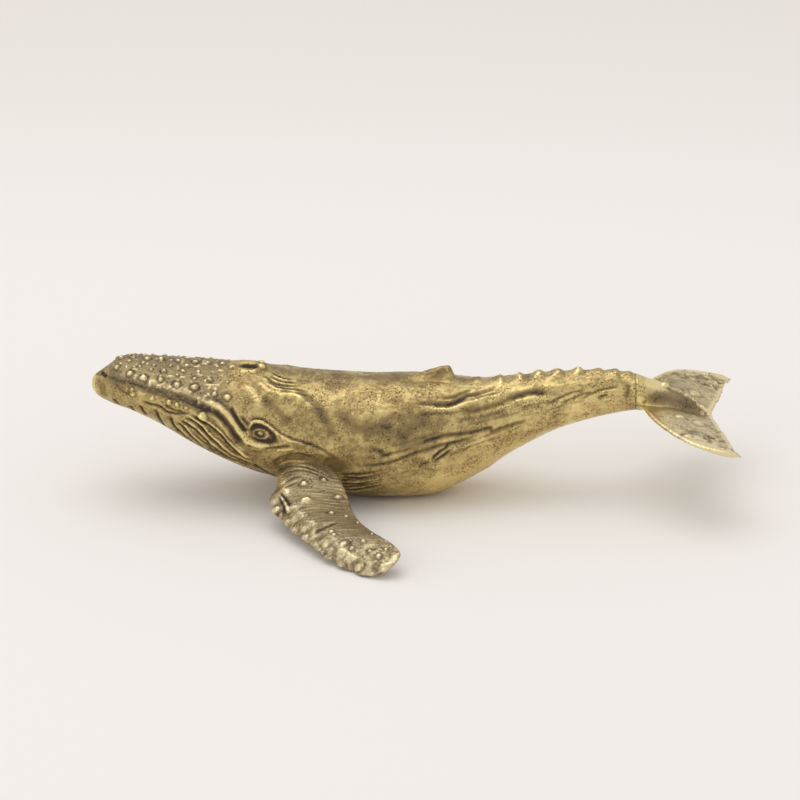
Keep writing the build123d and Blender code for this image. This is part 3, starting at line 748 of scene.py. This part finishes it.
# %% The flipper's sections
flipper_reach = 57.0
flipper_sweep = 31.0
flipper_front = -34.8
flipper_root_height = 12.6
flipper_thickness = 6.0
flipper_stations = [
    (0.160, 0.040, 0.880, 0.420, 1.060, 0.980),
    (0.246, 0.025, 0.800, 0.440, 0.990, 1.000),
    (0.333, 0.020, 0.680, 0.532, 0.790, 0.930),
    (0.421, 0.003, 0.470, 0.581, 0.650, 0.860),
    (0.526, 0.094, 0.340, 0.619, 0.550, 0.780),
    (0.632, 0.206, 0.285, 0.684, 0.500, 0.720),
    (0.719, 0.310, 0.245, 0.765, 0.495, 0.660),
    (0.807, 0.413, 0.200, 0.865, 0.500, 0.600),
    (0.877, 0.532, 0.125, 0.955, 0.475, 0.540),
    (0.939, 0.665, 0.070, 1.000, 0.420, 0.470),
    (0.975, 0.742, 0.085, 0.974, 0.340, 0.380),
    (1.000, 0.830, 0.120, 0.920, 0.250, 0.200),
]
edge_knob_first, edge_knob_count, edge_knob_rise = 0.36, 9, 1.1
print("flipper sections", len(flipper_stations))

# %% [markdown]
# Flippers and flukes share one kind of section: blunt in front, arched over the middle and thin
# behind, like a wing. It could be lofted between curves. Here each section becomes one ring of
# points, because the carving and the finish both work on such a grid.

# %% A blade
blade_rise = [(0.0, 0.40), (0.42, 1.00), (1.0, 0.16)]
edge_bluntness = 0.45


def blade(reach, lead, trail, thick, columns):
    """A blade's skin: a blunt leading edge, arched sides and a thin trailing edge."""
    turn = 2 * pi * np.arange(columns) / columns
    along = (1 - np.cos(turn)) / 2
    rise = follow(blade_rise, along)[:, 0] * np.abs(np.sin(turn)) ** edge_bluntness
    rise *= np.where(turn < pi, 1.0, -1.0)
    chord = trail - lead
    across = np.stack([-chord[:, 1], chord[:, 0]], axis=1)
    across /= np.linalg.norm(across, axis=1, keepdims=True)
    lift = (thick[:, None] / 2 * rise)[..., None] * across[:, None]
    place = lead[:, None] + chord[:, None] * along[:, None] + lift
    aside = np.repeat(reach[:, None], columns, axis=1)
    return np.stack([place[..., 0], aside, place[..., 1]], axis=-1).reshape(-1, 3)


print("blade is thickest at", blade_rise[1][0], "of its chord")

# %% [markdown]
# The leading edge swells into a row of rounded bumps, and the last sections draw in to a
# rounded tip. The flipper's lower side stays a hair above the table.

# %% The flipper's plain form
even_rows, flipper_around = 240, 160
tip_start, tip_size = 0.985, 0.0151
table_gap = 0.02
flipper_shares = np.concatenate([
    np.linspace(flipper_stations[0][0], 0.99, even_rows), [0.993, 0.996, 0.9985, 1.0]
])
flipper_rows = len(flipper_shares)
lead_x, lead_z, trail_x, trail_z, thick = follow(flipper_stations, flipper_shares).T
lead = np.stack([flipper_front + lead_x * flipper_sweep, lead_z * flipper_root_height], axis=1)
trail = np.stack([flipper_front + trail_x * flipper_sweep, trail_z * flipper_root_height], axis=1)
scallop = np.clip((flipper_shares - edge_knob_first) / (1 - edge_knob_first), 0, 1)
scallop = edge_knob_rise * np.abs(np.sin(pi * edge_knob_count * scallop)) ** 0.8
ahead = (lead - trail) / np.linalg.norm(lead - trail, axis=1, keepdims=True)
lead = lead + ahead * scallop[:, None]
into_tip = np.clip((flipper_shares - tip_start) / tip_size, 0, None)
tip_close = np.sqrt(np.clip(1 - into_tip**2, 0.02, 1))
middle = (lead + trail) / 2
lead = middle + (lead - middle) * tip_close[:, None]
trail = middle + (trail - middle) * tip_close[:, None]
thick = thick * tip_close * flipper_thickness
flipper_plain = blade(-flipper_shares * flipper_reach, lead, trail, thick, flipper_around)
flipper_plain[:, 2] = np.maximum(flipper_plain[:, 2], table_gap)
flipper = Skin(flipper_plain, grid_normals(flipper_plain, flipper_rows, flipper_around))
print("flipper skin", flipper_rows, "rows of", flipper_around, "points")

# %% [markdown]
# A humpback's flipper has knobs along its leading edge and more towards the tip. The modeller
# pressed small balls of wax on it, cut the folds near the root and combed the skin crosswise.

# %% Flipper carving
flipper_knobs = [
    ((304, 483), 1.0), ((323.4, 479.6), 0.85), ((338.7, 497.4), 1.05), ((331.5, 513), 0.8),
    ((346, 517), 0.5), ((358, 523), 0.4), ((363.7, 541), 0.7), ((372, 534), 0.45),
    ((344, 543), 1.1), ((358, 567), 1.25), ((330.5, 531.6), 0.7), ((378.5, 556), 0.8),
    ((334, 535), 0.6), ((352, 548), 0.6), ((369, 551), 0.6), ((386, 549), 0.6),
]
flipper_cuts = [
    ([(279.5, 492), (285.6, 499), (290.7, 507)], 0.6, 0.4, 0.8),
    ([(278.5, 496), (283.6, 507), (283.6, 514)], 0.6, 0.4, 0.8),
    ([(313, 532.7), (320, 529.6), (328.5, 525.5), (339.7, 521.4)], 0.8, 0.3, 0.5),
    ([(279.5, 495), (285.6, 505), (288.7, 513)], 0.5, -0.3, -0.5),
    ([(277, 471), (281, 480), (284, 489), (288, 497)], 2.0, -0.3, -0.9),
    ([(289, 503), (298, 512), (309, 521), (318, 527)], 1.7, -0.25, -0.5),
    ([(301, 501), (306, 498.5), (311, 498)], 1.0, -0.35, -0.35),
    ([(322, 531), (330, 537), (339, 547), (352, 558), (366, 564)], 1.7, -0.2, -0.3),
    ([(376, 571), (390, 563), (398, 552)], 1.6, -0.2, -0.4),
    ([(279, 471), (287, 466.5), (298, 466), (310, 468), (322, 473)], 0.45, 0.15, 0.45),
    ([(281, 476), (290, 471), (301, 470), (312, 472), (324, 478)], 0.45, 0.12, 0.4),
    ([(284, 484), (293, 478), (304, 476.5)], 0.45, 0.15, 0.4),
    ([(284, 489), (292, 484), (300, 482.5)], 0.45, 0.12, 0.35),
]
for place, radius in flipper_knobs:
    flipper.dot(place, radius, 0.45, 0.3, 0.08)
for line, width, depth, darker in flipper_cuts:
    flipper.stroke(line, width, depth, darker, (0.2, 0.25))
flipper.dot((276.4, 509), 1.1, 0.6, 0.4)
print("flipper knobs", len(flipper_knobs) + 1, "and cuts", len(flipper_cuts))

# %% [markdown]
# The half of the flipper by the body has fine cross striations. The leading edge and the tip
# are knobbly, and their high spots are rubbed brighter.

# %% The flipper's grain
reach_share = -flipper_plain[:, 1] / flipper_reach
lead_points = np.repeat(lead, flipper_around, axis=0)
edge_gap = np.linalg.norm(flipper_plain[:, [0, 2]] - lead_points, axis=1)
edge_part = (1 - ease(2.0, 5.5, edge_gap)) * ease(0.35, 0.5, reach_share)
knobbly = np.clip(0.8 * ease(0.7, 0.92, reach_share) + edge_part, 0, 1)
lumps = hills(flipper_plain, 1.3, 11) * 0.6 + hills(flipper_plain, 0.65, 13) * 0.4
flipper.lift += 0.26 * lumps * knobbly
flipper.dark -= 0.6 * lumps * knobbly + 0.15 * edge_part
strip = hills(flipper_plain * np.array([0.2, 1.9, 1.0]), 0.62, 12)
strip = strip * (0.5 + 0.5 * hills(flipper_plain, 4.0, 14))
flipper.lift += 0.1 * strip * (1 - knobbly)
flipper.dark -= 0.4 * strip * (1 - knobbly)
flipper.dark += 0.2 * (1 - knobbly)
print("flipper carving rises to", round(float(flipper.lift.max()), 2), "mm")

# %% [markdown]
# Port and starboard flipper are two castings from mirrored moulds, so the second mesh is the
# first one mirrored. A mirror modifier would make both one piece, but each has its own place in
# the frame. Mirroring turns faces inside out, so they are flipped back.

# %% Both flippers
port_flipper = grid_mesh("whale_port_flipper", flipper.carved(), flipper_rows, flipper_around)
paint(port_flipper, "patina", finish_skin(flipper, flipper_rows, flipper_around))
paint(port_flipper, "tone", np.ones(len(flipper_plain)))
starboard_mesh = port_flipper.data.copy()
starboard_mesh.transform(Matrix.Diagonal((1, -1, 1, 1)))
starboard_mesh.flip_normals()
starboard_flipper = bpy.data.objects.new("whale_starboard_flipper", starboard_mesh)
bpy.context.scene.collection.objects.link(starboard_flipper)
print("flipper faces", len(port_flipper.data.polygons), len(starboard_mesh.polygons))

# %% [markdown]
# The tail flukes are one casting: two thin blades on a short stem. The blades come first. Their
# table gives, from the middle out, where the leading and trailing edges lie and how thick the
# blade is. They start after the thin seam of solder at the end of the body.

# %% The flukes' blades
whole_length, solder_gap = 160.0, 0.15
fluke_length = whole_length - body_length - solder_gap
fluke_span = 53.6
fluke_thickness = 2.8
fluke_root_height = 24.83
fluke_dip = radians(14)
fluke_rise = 0.9
fluke_around = 96
fluke_stations = [
    (0.000, 0.030, 0.735, 1.000),
    (0.080, 0.032, 0.745, 0.980),
    (0.160, 0.045, 0.760, 0.940),
    (0.300, 0.085, 0.795, 0.860),
    (0.450, 0.140, 0.835, 0.780),
    (0.600, 0.212, 0.868, 0.690),
    (0.750, 0.310, 0.905, 0.600),
    (0.870, 0.425, 0.950, 0.520),
    (0.940, 0.540, 0.985, 0.450),
    (0.980, 0.650, 1.000, 0.380),
    (1.000, 0.780, 0.970, 0.240),
]
seam_x = joint_x + solder_gap
across_share = np.concatenate([
    [1.0, 0.998, 0.994], np.linspace(0.99, -0.99, 161), [-0.994, -0.998, -1.0]
])
lead_at, trail_at, thick = follow(fluke_stations, np.abs(across_share)).T
edges = []
for at in (lead_at, trail_at):
    drop = at * fluke_length * tan(fluke_dip) - fluke_rise * across_share**2
    edges.append(np.stack([seam_x + at * fluke_length, fluke_root_height - drop], axis=1))
wings = blade(across_share * fluke_span / 2, *edges, thick * fluke_thickness, fluke_around)
wings_piece = grid_mesh("whale_tail_flukes", wings, len(across_share), fluke_around)
print("flukes are", round(fluke_length, 2), "mm long and", fluke_span, "mm wide")

# %% [markdown]
# The stem is a row of ovals that flatten as they run in between the blades. It starts a little
# ahead of the joint, so that the seam stays closed under the carving.

# %% The flukes' stem
stem_rows, stem_around = 60, 72
stem_stations = [
    (-0.030, 1.024, 0.738, 0.279),
    (0.000, 1.031, 0.731, 0.290),
    (0.130, 0.985, 0.722, 0.300),
    (0.290, 0.935, 0.695, 0.275),
    (0.450, 0.868, 0.665, 0.230),
    (0.580, 0.795, 0.650, 0.165),
    (0.655, 0.745, 0.655, 0.095),
    (0.715, 0.708, 0.650, 0.040),
]
stem_share = np.linspace(stem_stations[0][0], stem_stations[-1][0], stem_rows)
top, bottom, wide = follow(stem_stations, stem_share).T
stem_turn = np.radians(-90 + 360 * np.arange(stem_around) / stem_around)
stem = np.stack([
    np.repeat((seam_x + stem_share * fluke_length)[:, None], stem_around, axis=1),
    -np.outer(wide * body_width / 2, np.cos(stem_turn)),
    (top + bottom)[:, None] / 2 * body_height
    + np.outer((top - bottom) / 2 * body_height, np.sin(stem_turn)),
], axis=-1).reshape(-1, 3)
stem_piece = grid_mesh("stem", stem, stem_rows, stem_around)
print("stem starts at x", round(seam_x + stem_stations[0][0] * fluke_length, 2), "mm")

# %% [markdown]
# Blades and stem become one skin with a voxel remesh, as clay is smoothed over a joint. A
# boolean union would keep a hard crease where they meet, and a casting has none there.

# %% One skin for the flukes
voxel_size = 0.26
joined = bmesh.new()
joined.from_mesh(wings_piece.data)
joined.from_mesh(stem_piece.data)
joined.to_mesh(wings_piece.data)
joined.free()
bpy.data.objects.remove(stem_piece)
remesh = wings_piece.modifiers.new("one_skin", "REMESH")
remesh.mode = "VOXEL"
remesh.voxel_size = voxel_size * MM
remesh.use_smooth_shade = True
relax = wings_piece.modifiers.new("relax", "SMOOTH")
relax.factor, relax.iterations = 0.5, 3
bpy.context.view_layer.update()
fluke_mesh = bpy.data.meshes.new_from_object(
    wings_piece.evaluated_get(bpy.context.evaluated_depsgraph_get())
)
wings_piece.modifiers.clear()
wings_piece.data = fluke_mesh
print("fluke skin points", len(fluke_mesh.vertices))

# %% [markdown]
# The remeshed skin has no rows, but its points and the ways out of it can be read from the mesh
# and carved with the same tools. The blades have rims, a crest that runs from the stem to the
# near tip, a long hollow beside it and small knobs.


# %% Fluke carving
def vectors(rows, name):
    """One vector for each row of a mesh, as an array."""
    values = np.empty(len(rows) * 3, np.float32)
    rows.foreach_get(name, values)
    return values.reshape(-1, 3).astype(float)


flukes = Skin(vectors(fluke_mesh.vertices, "co") / MM, vectors(fluke_mesh.vertex_normals, "vector"))
fluke_knobs = [
    ((679.6, 416.5), 1.3, 0.35), ((699, 423), 1.5, 0.4), ((688, 436), 1.0, 0.3),
    ((703, 413), 0.8, 0.3), ((713, 428), 0.7, 0.3), ((717, 440), 0.8, 0.3), ((709, 437), 0.7, 0.3),
    ((722, 449), 0.7, 0.3), ((671, 372.5), 1.0, 0.4), ((702, 371.5), 0.9, 0.4),
    ((690, 374), 0.7, 0.3), ((712, 374), 0.9, 0.35), ((722, 377), 0.8, 0.35),
]
for place, radius, height in fluke_knobs:
    flukes.dot(place, radius, height, 0.3, 0.06)
near_rim = [(640, 405), (657, 421), (680, 437), (702, 449), (722, 456), (738, 457)]
crest_line = [(646, 377), (660, 381), (674, 386), (688, 392), (700, 401), (710, 412),
              (719, 425), (727, 438), (735, 450)]
# The near rim is bright, and so is the slope above it
flukes.stroke(near_rim, 1.1, -0.3, -0.7, (0.1, 0.1))
flukes.stroke(shifted(near_rim[:-1], 4, -4), 2.6, 0.0, -0.35, (0.3, 0.3))
# The crest is brighter still, with a shallow groove above it that is darkened as a painted shadow
# of the starboard blade, and a rubbed place under its start
flukes.stroke(crest_line, 1.0, -0.4, -0.9, (0.15, 0.15))
flukes.stroke(shifted(crest_line[1:6], 3, -4), 1.8, 0.15, 0.55, (0.3, 0.2))
flukes.stroke(shifted(crest_line[:3], -3, 5), 2.0, -0.1, -0.45, (0.3, 0.3))
# The long dark hollow under the crest, a bright one below it, and a shallow one above the crest
# that is darkened as a painted shadow
flukes.stroke([(638, 399), (655, 398), (672, 399), (687, 405), (699, 414), (709, 426)], 3.2,
              0.5, 0.6, (0.3, 0.4))
flukes.stroke([(650, 408), (664, 416), (676, 426)], 2.0, 0.2, -0.3, (0.3, 0.3))
flukes.stroke([(662, 372), (680, 377), (700, 383), (716, 384)], 2.6, 0.1, 0.3, (0.3, 0.3))
# The starboard blade is painted darker along its front
flukes.dark += 0.45 * ease(3, 9, flukes.plain[:, 1]) * (1 - ease(63, 71, flukes.plain[:, 0]))
# A rubbed place between the blades and a bump where the near rim starts
flukes.stroke([(700, 393), (710, 395), (719, 392)], 2.0, 0.2, -0.5, (0.3, 0.3))
flukes.dot((640, 400), 1.2, 0.3, 0.2)
print("fluke knobs", len(fluke_knobs) + 1)

# %% [markdown]
# The blades get lumpier towards their trailing edges, and the tips are smooth and bright from
# being held. The tone fades in over the stem, from the body's brass to the blades' paler one.

# %% The flukes' grain and finish
lumps_start = [(0, 66.5), (26.8, 74.5)]
flukes.dark -= 0.3 + 0.1 * (1 - ease(56.0, 64.0, flukes.plain[:, 0]))
from_middle = np.abs(flukes.plain[:, 1])
trailing = ease(2.0, 9.0, flukes.plain[:, 0] - follow(lumps_start, from_middle)[:, 0])
knobbly = np.clip(ease(12, 21, from_middle) * 0.7 + trailing * ease(4, 12, from_middle), 0, 1)
lumps = hills(flukes.plain, 1.2, 21) * 0.6 + hills(flukes.plain, 0.6, 22) * 0.4
tip_part = ease(22.5, 25.5, from_middle)
knobbly *= 1 - 0.85 * tip_part
flukes.dark -= 0.45 * tip_part
flukes.lift += 0.24 * lumps * knobbly
flukes.dark += 0.45 * knobbly - 1.4 * lumps * knobbly
fluke_mesh.vertices.foreach_set("co", (flukes.carved() * MM).astype(np.float32).ravel())
fluke_mesh.update()
# This patina also holds the painted shadows above the crest
paint(wings_piece, "patina", np.clip(0.6 * flukes.dark - 0.5 * flukes.lift, -1, 1.4))
paint(wings_piece, "tone", 0.65 * ease(55.0, 66.0, flukes.plain[:, 0]))
print("fluke carving from", round(float(flukes.lift.min()), 2), "mm")

# %% [markdown]
# Every piece rides on the one body of the frame and stands for its CAD solid. The solder seams
# keep their CAD solids, because a seam is a plain thin line.

# %% Pieces on the frame
for piece, node in [
    (body_piece, "body"), (port_flipper, "port_flipper"),
    (starboard_flipper, "starboard_flipper"), (wings_piece, "tail_flukes"),
]:
    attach(piece, "root")
    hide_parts(node)
    print(piece.name, "stands for", node)

# %% [markdown]
# Two helpers for materials: one turns a hex colour into the linear numbers that Blender's
# shaders work in, the other adds a shader node with its settings, values and links.


# %% Colours and nodes
def linear(hex_colour):
    """An sRGB hex colour as linear red, green, blue and alpha."""
    parts = [int(hex_colour[n:n + 2], 16) / 255 for n in (1, 3, 5)]
    return [c / 12.92 if c <= 0.04045 else ((c + 0.055) / 1.055) ** 2.4 for c in parts] + [1.0]


def add(nodes, kind, settings=None, inputs=None, links=None):
    """Adds a node, sets its settings and inputs and links its sockets."""
    node = nodes.new(kind)
    for name, value in (settings or {}).items():
        setattr(node, name, value)
    for name, value in (inputs or {}).items():
        node.inputs[name].default_value = value
    for name, source in (links or {}).items():
        nodes.id_data.links.new(source, node.inputs[name])
    return node


print("the middle grey #808080 is", round(linear("#808080")[0], 3), "in linear light")

# %% [markdown]
# What casting leaves on the metal: stains where the patina took unevenly, the grain of the
# mould's sand, and small gas pits in some of the stains. They are too small for the mesh, so
# they are noise patterns, and each scale is worked out from a size in millimetres.

# %% Marks of the casting
stain_size = 4 * MM
# Real moulding sand is about 0.2 mm, drawn coarser so that it shows
sand_size = 0.5 * MM
pit_spacing = 0.7 * MM


def casting_marks(nodes):
    """The sockets of the stains, the grain, the patches of pits and the pits in them."""
    place = add(nodes, "ShaderNodeTexCoord").outputs["Object"]
    stain = add(nodes, "ShaderNodeTexNoise",
                inputs={"Scale": 1 / stain_size, "Detail": 4.0, "Roughness": 0.65},
                links={"Vector": place}).outputs["Fac"]
    grain = add(nodes, "ShaderNodeTexNoise",
                inputs={"Scale": 1 / sand_size, "Detail": 3.0, "Roughness": 0.6},
                links={"Vector": place}).outputs["Fac"]
    # A pit is about 0.3 mm wide
    pit_gap = add(nodes, "ShaderNodeTexVoronoi", inputs={"Scale": 1 / pit_spacing},
                  links={"Vector": place}).outputs["Distance"]
    pit = add(nodes, "ShaderNodeMapRange", {"interpolation_type": "SMOOTHSTEP"},
              {"From Min": 0.36, "From Max": 0.16}, {"Value": pit_gap}).outputs["Result"]
    pitted = add(nodes, "ShaderNodeMapRange", {"interpolation_type": "SMOOTHSTEP"},
                 {"From Min": 0.42, "From Max": 0.6}, {"Value": stain}).outputs["Result"]
    deep_pit = add(nodes, "ShaderNodeMath", {"operation": "MULTIPLY"},
                   links={0: pit, 1: pitted}).outputs["Value"]
    return stain, grain, pitted, deep_pit


print("grains to a centimetre", round(10 * MM / sand_size))

# %% [markdown]
# Aged brass: cast, darkened with a chemical patina, then rubbed. The eye sees dark brown in the
# hollows, olive brass on the plain skin and warm yellow metal where hands rub it. Crown,
# flippers and flukes took the patina paler and greyer than the flanks. The painted patina, which
# in places also holds painted shade and painted reflections, brings the carving into the colour,
# the marks of the casting break it up, and one number, the age of a place with its painted light,
# then sets its colour and how rough it is.


# %% Aged brass
def aged_brass(name, golden, pale, shine, speckle):
    """Brass with a patina in the hollows and wear on the high spots.

    The golden and the pale finish each have a hollow, a mid and a high colour, and the painted
    tone says how pale a place is.
    """
    material = bpy.data.materials.new(name)
    material.use_nodes = True
    nodes = material.node_tree.nodes
    nodes.clear()
    # The patina attribute also carries the painted shade and painted reflections laid on the body
    # and flukes
    patina = add(nodes, "ShaderNodeAttribute", {"attribute_name": "patina"}).outputs["Fac"]
    tone = add(nodes, "ShaderNodeAttribute", {"attribute_name": "tone"}).outputs["Fac"]
    stain, grain, pitted, deep_pit = casting_marks(nodes)

    # Stains and grain make a place look a little older or newer
    stain_part = add(nodes, "ShaderNodeMath", {"operation": "MULTIPLY_ADD"},
                     {1: 0.6, 2: -0.34}, {0: stain}).outputs["Value"]
    grain_part = add(nodes, "ShaderNodeMath", {"operation": "MULTIPLY_ADD"},
                     {1: speckle, 2: -speckle / 2}, {0: grain}).outputs["Value"]
    # Rubbing has worn the grain away in patches
    patchy = add(nodes, "ShaderNodeMath", {"operation": "MULTIPLY_ADD"}, {1: 0.75, 2: 0.25},
                 {0: pitted}).outputs["Value"]
    grain_part = add(nodes, "ShaderNodeMath", {"operation": "MULTIPLY"},
                     links={0: grain_part, 1: patchy}).outputs["Value"]
    aged = add(nodes, "ShaderNodeMath", {"operation": "ADD"},
               links={0: patina, 1: stain_part}).outputs["Value"]
    aged = add(nodes, "ShaderNodeMath", {"operation": "ADD"},
               links={0: aged, 1: grain_part}).outputs["Value"]
    aged = add(nodes, "ShaderNodeMath", {"operation": "MULTIPLY_ADD"}, {1: 0.55},
               {0: deep_pit, 2: aged}).outputs["Value"]
    age = add(nodes, "ShaderNodeMapRange", inputs={"From Min": -0.6, "From Max": 1.0},
              links={"Value": aged}).outputs["Result"]
    colours = []
    for hollow, mid, high in (golden, pale):
        ramp = add(nodes, "ShaderNodeValToRGB", links={"Fac": age})
        stops = ramp.color_ramp.elements
        stops[0].position, stops[0].color = 0.10, linear(high)
        stops[1].position, stops[1].color = 0.88, linear(hollow)
        stops.new(0.40).color = linear(mid)
        colours.append(ramp.outputs["Color"])
    # A mix node's sockets 6 and 7 are its two colours, and its output 2 is the mixed one
    colour = add(nodes, "ShaderNodeMix", {"data_type": "RGBA"},
                 links={0: tone, 6: colours[0], 7: colours[1]}).outputs[2]
    rough = add(nodes, "ShaderNodeMapRange", inputs={"To Min": shine, "To Max": 0.75},
                links={"Value": age}).outputs["Result"]
    height = add(nodes, "ShaderNodeMath", {"operation": "MULTIPLY_ADD"}, {1: -0.9},
                 {0: deep_pit, 2: grain}).outputs["Value"]
    bump = add(nodes, "ShaderNodeBump", inputs={"Strength": 0.6, "Distance": 0.12 * MM},
               links={"Height": height}).outputs["Normal"]
    shader = add(nodes, "ShaderNodeBsdfPrincipled", inputs={"Metallic": 1.0},
                 links={"Base Color": colour, "Roughness": rough, "Normal": bump})
    add(nodes, "ShaderNodeOutputMaterial", links={"Surface": shader.outputs["BSDF"]})
    return material


# The hollow, the mid and the high colour of each finish
golden_brass = ("#564b40", "#9d8759", "#edd795")
pale_brass = ("#584e45", "#a39270", "#ecdeb4")
brass = aged_brass("cast_brass_dark_patina", golden_brass, pale_brass, 0.22, 1.0)
for piece in (body_piece, port_flipper, starboard_flipper, wings_piece):
    piece.data.materials.append(brass)
print("brass nodes", len(brass.node_tree.nodes))

# %% [markdown]
# The seams are hard solder, run in by heat and filed flush. It has less copper than the brass,
# so it looks a little greyer, and the patina darkens it in the same way.

# %% Hard solder
solder_greys = ("#584e45", "#9a8e6a", "#d8cda4")
solder = aged_brass("hard_solder_seam", solder_greys, solder_greys, 0.38, 0.7)
seams = [node for name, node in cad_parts.items() if name.endswith("solder")]
for seam in seams:
    seam.data.materials.clear()
    seam.data.materials.append(solder)
print("solder seams", len(seams))

# %% [markdown]
# The stage is one flat sheet of warm off-white paper, matt and almost without gloss. Far behind
# the whale its colour is a little greyer, a painted shade where less of the lamps' light falls on
# it.

# %% The stage
paper_reach = 3.0
paper_corners = [(-1, -1, 0), (1, -1, 0), (1, 1, 0), (-1, 1, 0)]
paper_mesh = bpy.data.meshes.new("paper_sheet")
paper_mesh.from_pydata([Vector(c) * paper_reach for c in paper_corners], [], [(0, 1, 2, 3)])
paper_sheet = bpy.data.objects.new("paper_sheet", paper_mesh)
bpy.context.scene.collection.objects.link(paper_sheet)
paper = bpy.data.materials.new("warm_white_paper")
paper.use_nodes = True
nodes = paper.node_tree.nodes
paper_place = add(nodes, "ShaderNodeTexCoord").outputs["Object"]
behind = add(nodes, "ShaderNodeSeparateXYZ", links={"Vector": paper_place}).outputs["Y"]
# Painted shade: the paper's colour greys far behind the whale
far_off = add(nodes, "ShaderNodeMapRange", {"interpolation_type": "SMOOTHSTEP"},
              {"From Min": 0.14, "From Max": 0.42}, {"Value": behind}).outputs["Result"]
paper_ramp = add(nodes, "ShaderNodeValToRGB", links={"Fac": far_off})
paper_ramp.color_ramp.elements[0].color = linear("#f1ede8")
paper_ramp.color_ramp.elements[1].color = linear("#e9e4de")
paper_shader = nodes["Principled BSDF"]
paper_shader.inputs["Roughness"].default_value = 0.9
paper_shader.inputs["Specular IOR Level"].default_value = 0.1
paper.node_tree.links.new(paper_ramp.outputs["Color"], paper_shader.inputs["Base Color"])
paper_mesh.materials.append(paper)
print("paper is", 2 * paper_reach, "m wide and has", len(nodes), "nodes")

# %% [markdown]
# A photographer's white tent: the room itself gives most of the light, so shadows stay pale.
# One large soft box overhead draws the bright band along the back, and a small one in front on
# the left gives the carving its glints.


# %% Lights
def soft_box(name, place, aim, size, power, colour):
    """A square soft box at a place in metres, turned to its aim."""
    lamp = bpy.data.lights.new(name, "AREA")
    lamp.shape, lamp.size, lamp.energy = "SQUARE", size, power
    lamp.color = linear(colour)[:3]
    box = bpy.data.objects.new(name, lamp)
    box.location = place
    box.rotation_euler = (Vector(place) - Vector(aim)).to_track_quat("Z", "Y").to_euler()
    bpy.context.scene.collection.objects.link(box)


soft_box("top_box", (-0.15, 0.10, 1.0), (0, 0, 0.02), 0.9, 2.65, "#fefdff")
soft_box("front_box", (-0.7, -1.1, 0.7), (0, 0, 0.02), 0.5, 1.35, "#fefdff")
world = bpy.data.worlds.new("studio_room")
bpy.context.scene.world = world
world.use_nodes = True
room_light = world.node_tree.nodes["Background"]
room_light.inputs["Color"].default_value = linear("#f6f5f4")
room_light.inputs["Strength"].default_value = 0.86
bpy.context.scene.view_settings.view_transform = "Standard"
print("lamps in watts", [round(lamp.energy, 2) for lamp in bpy.data.lights])
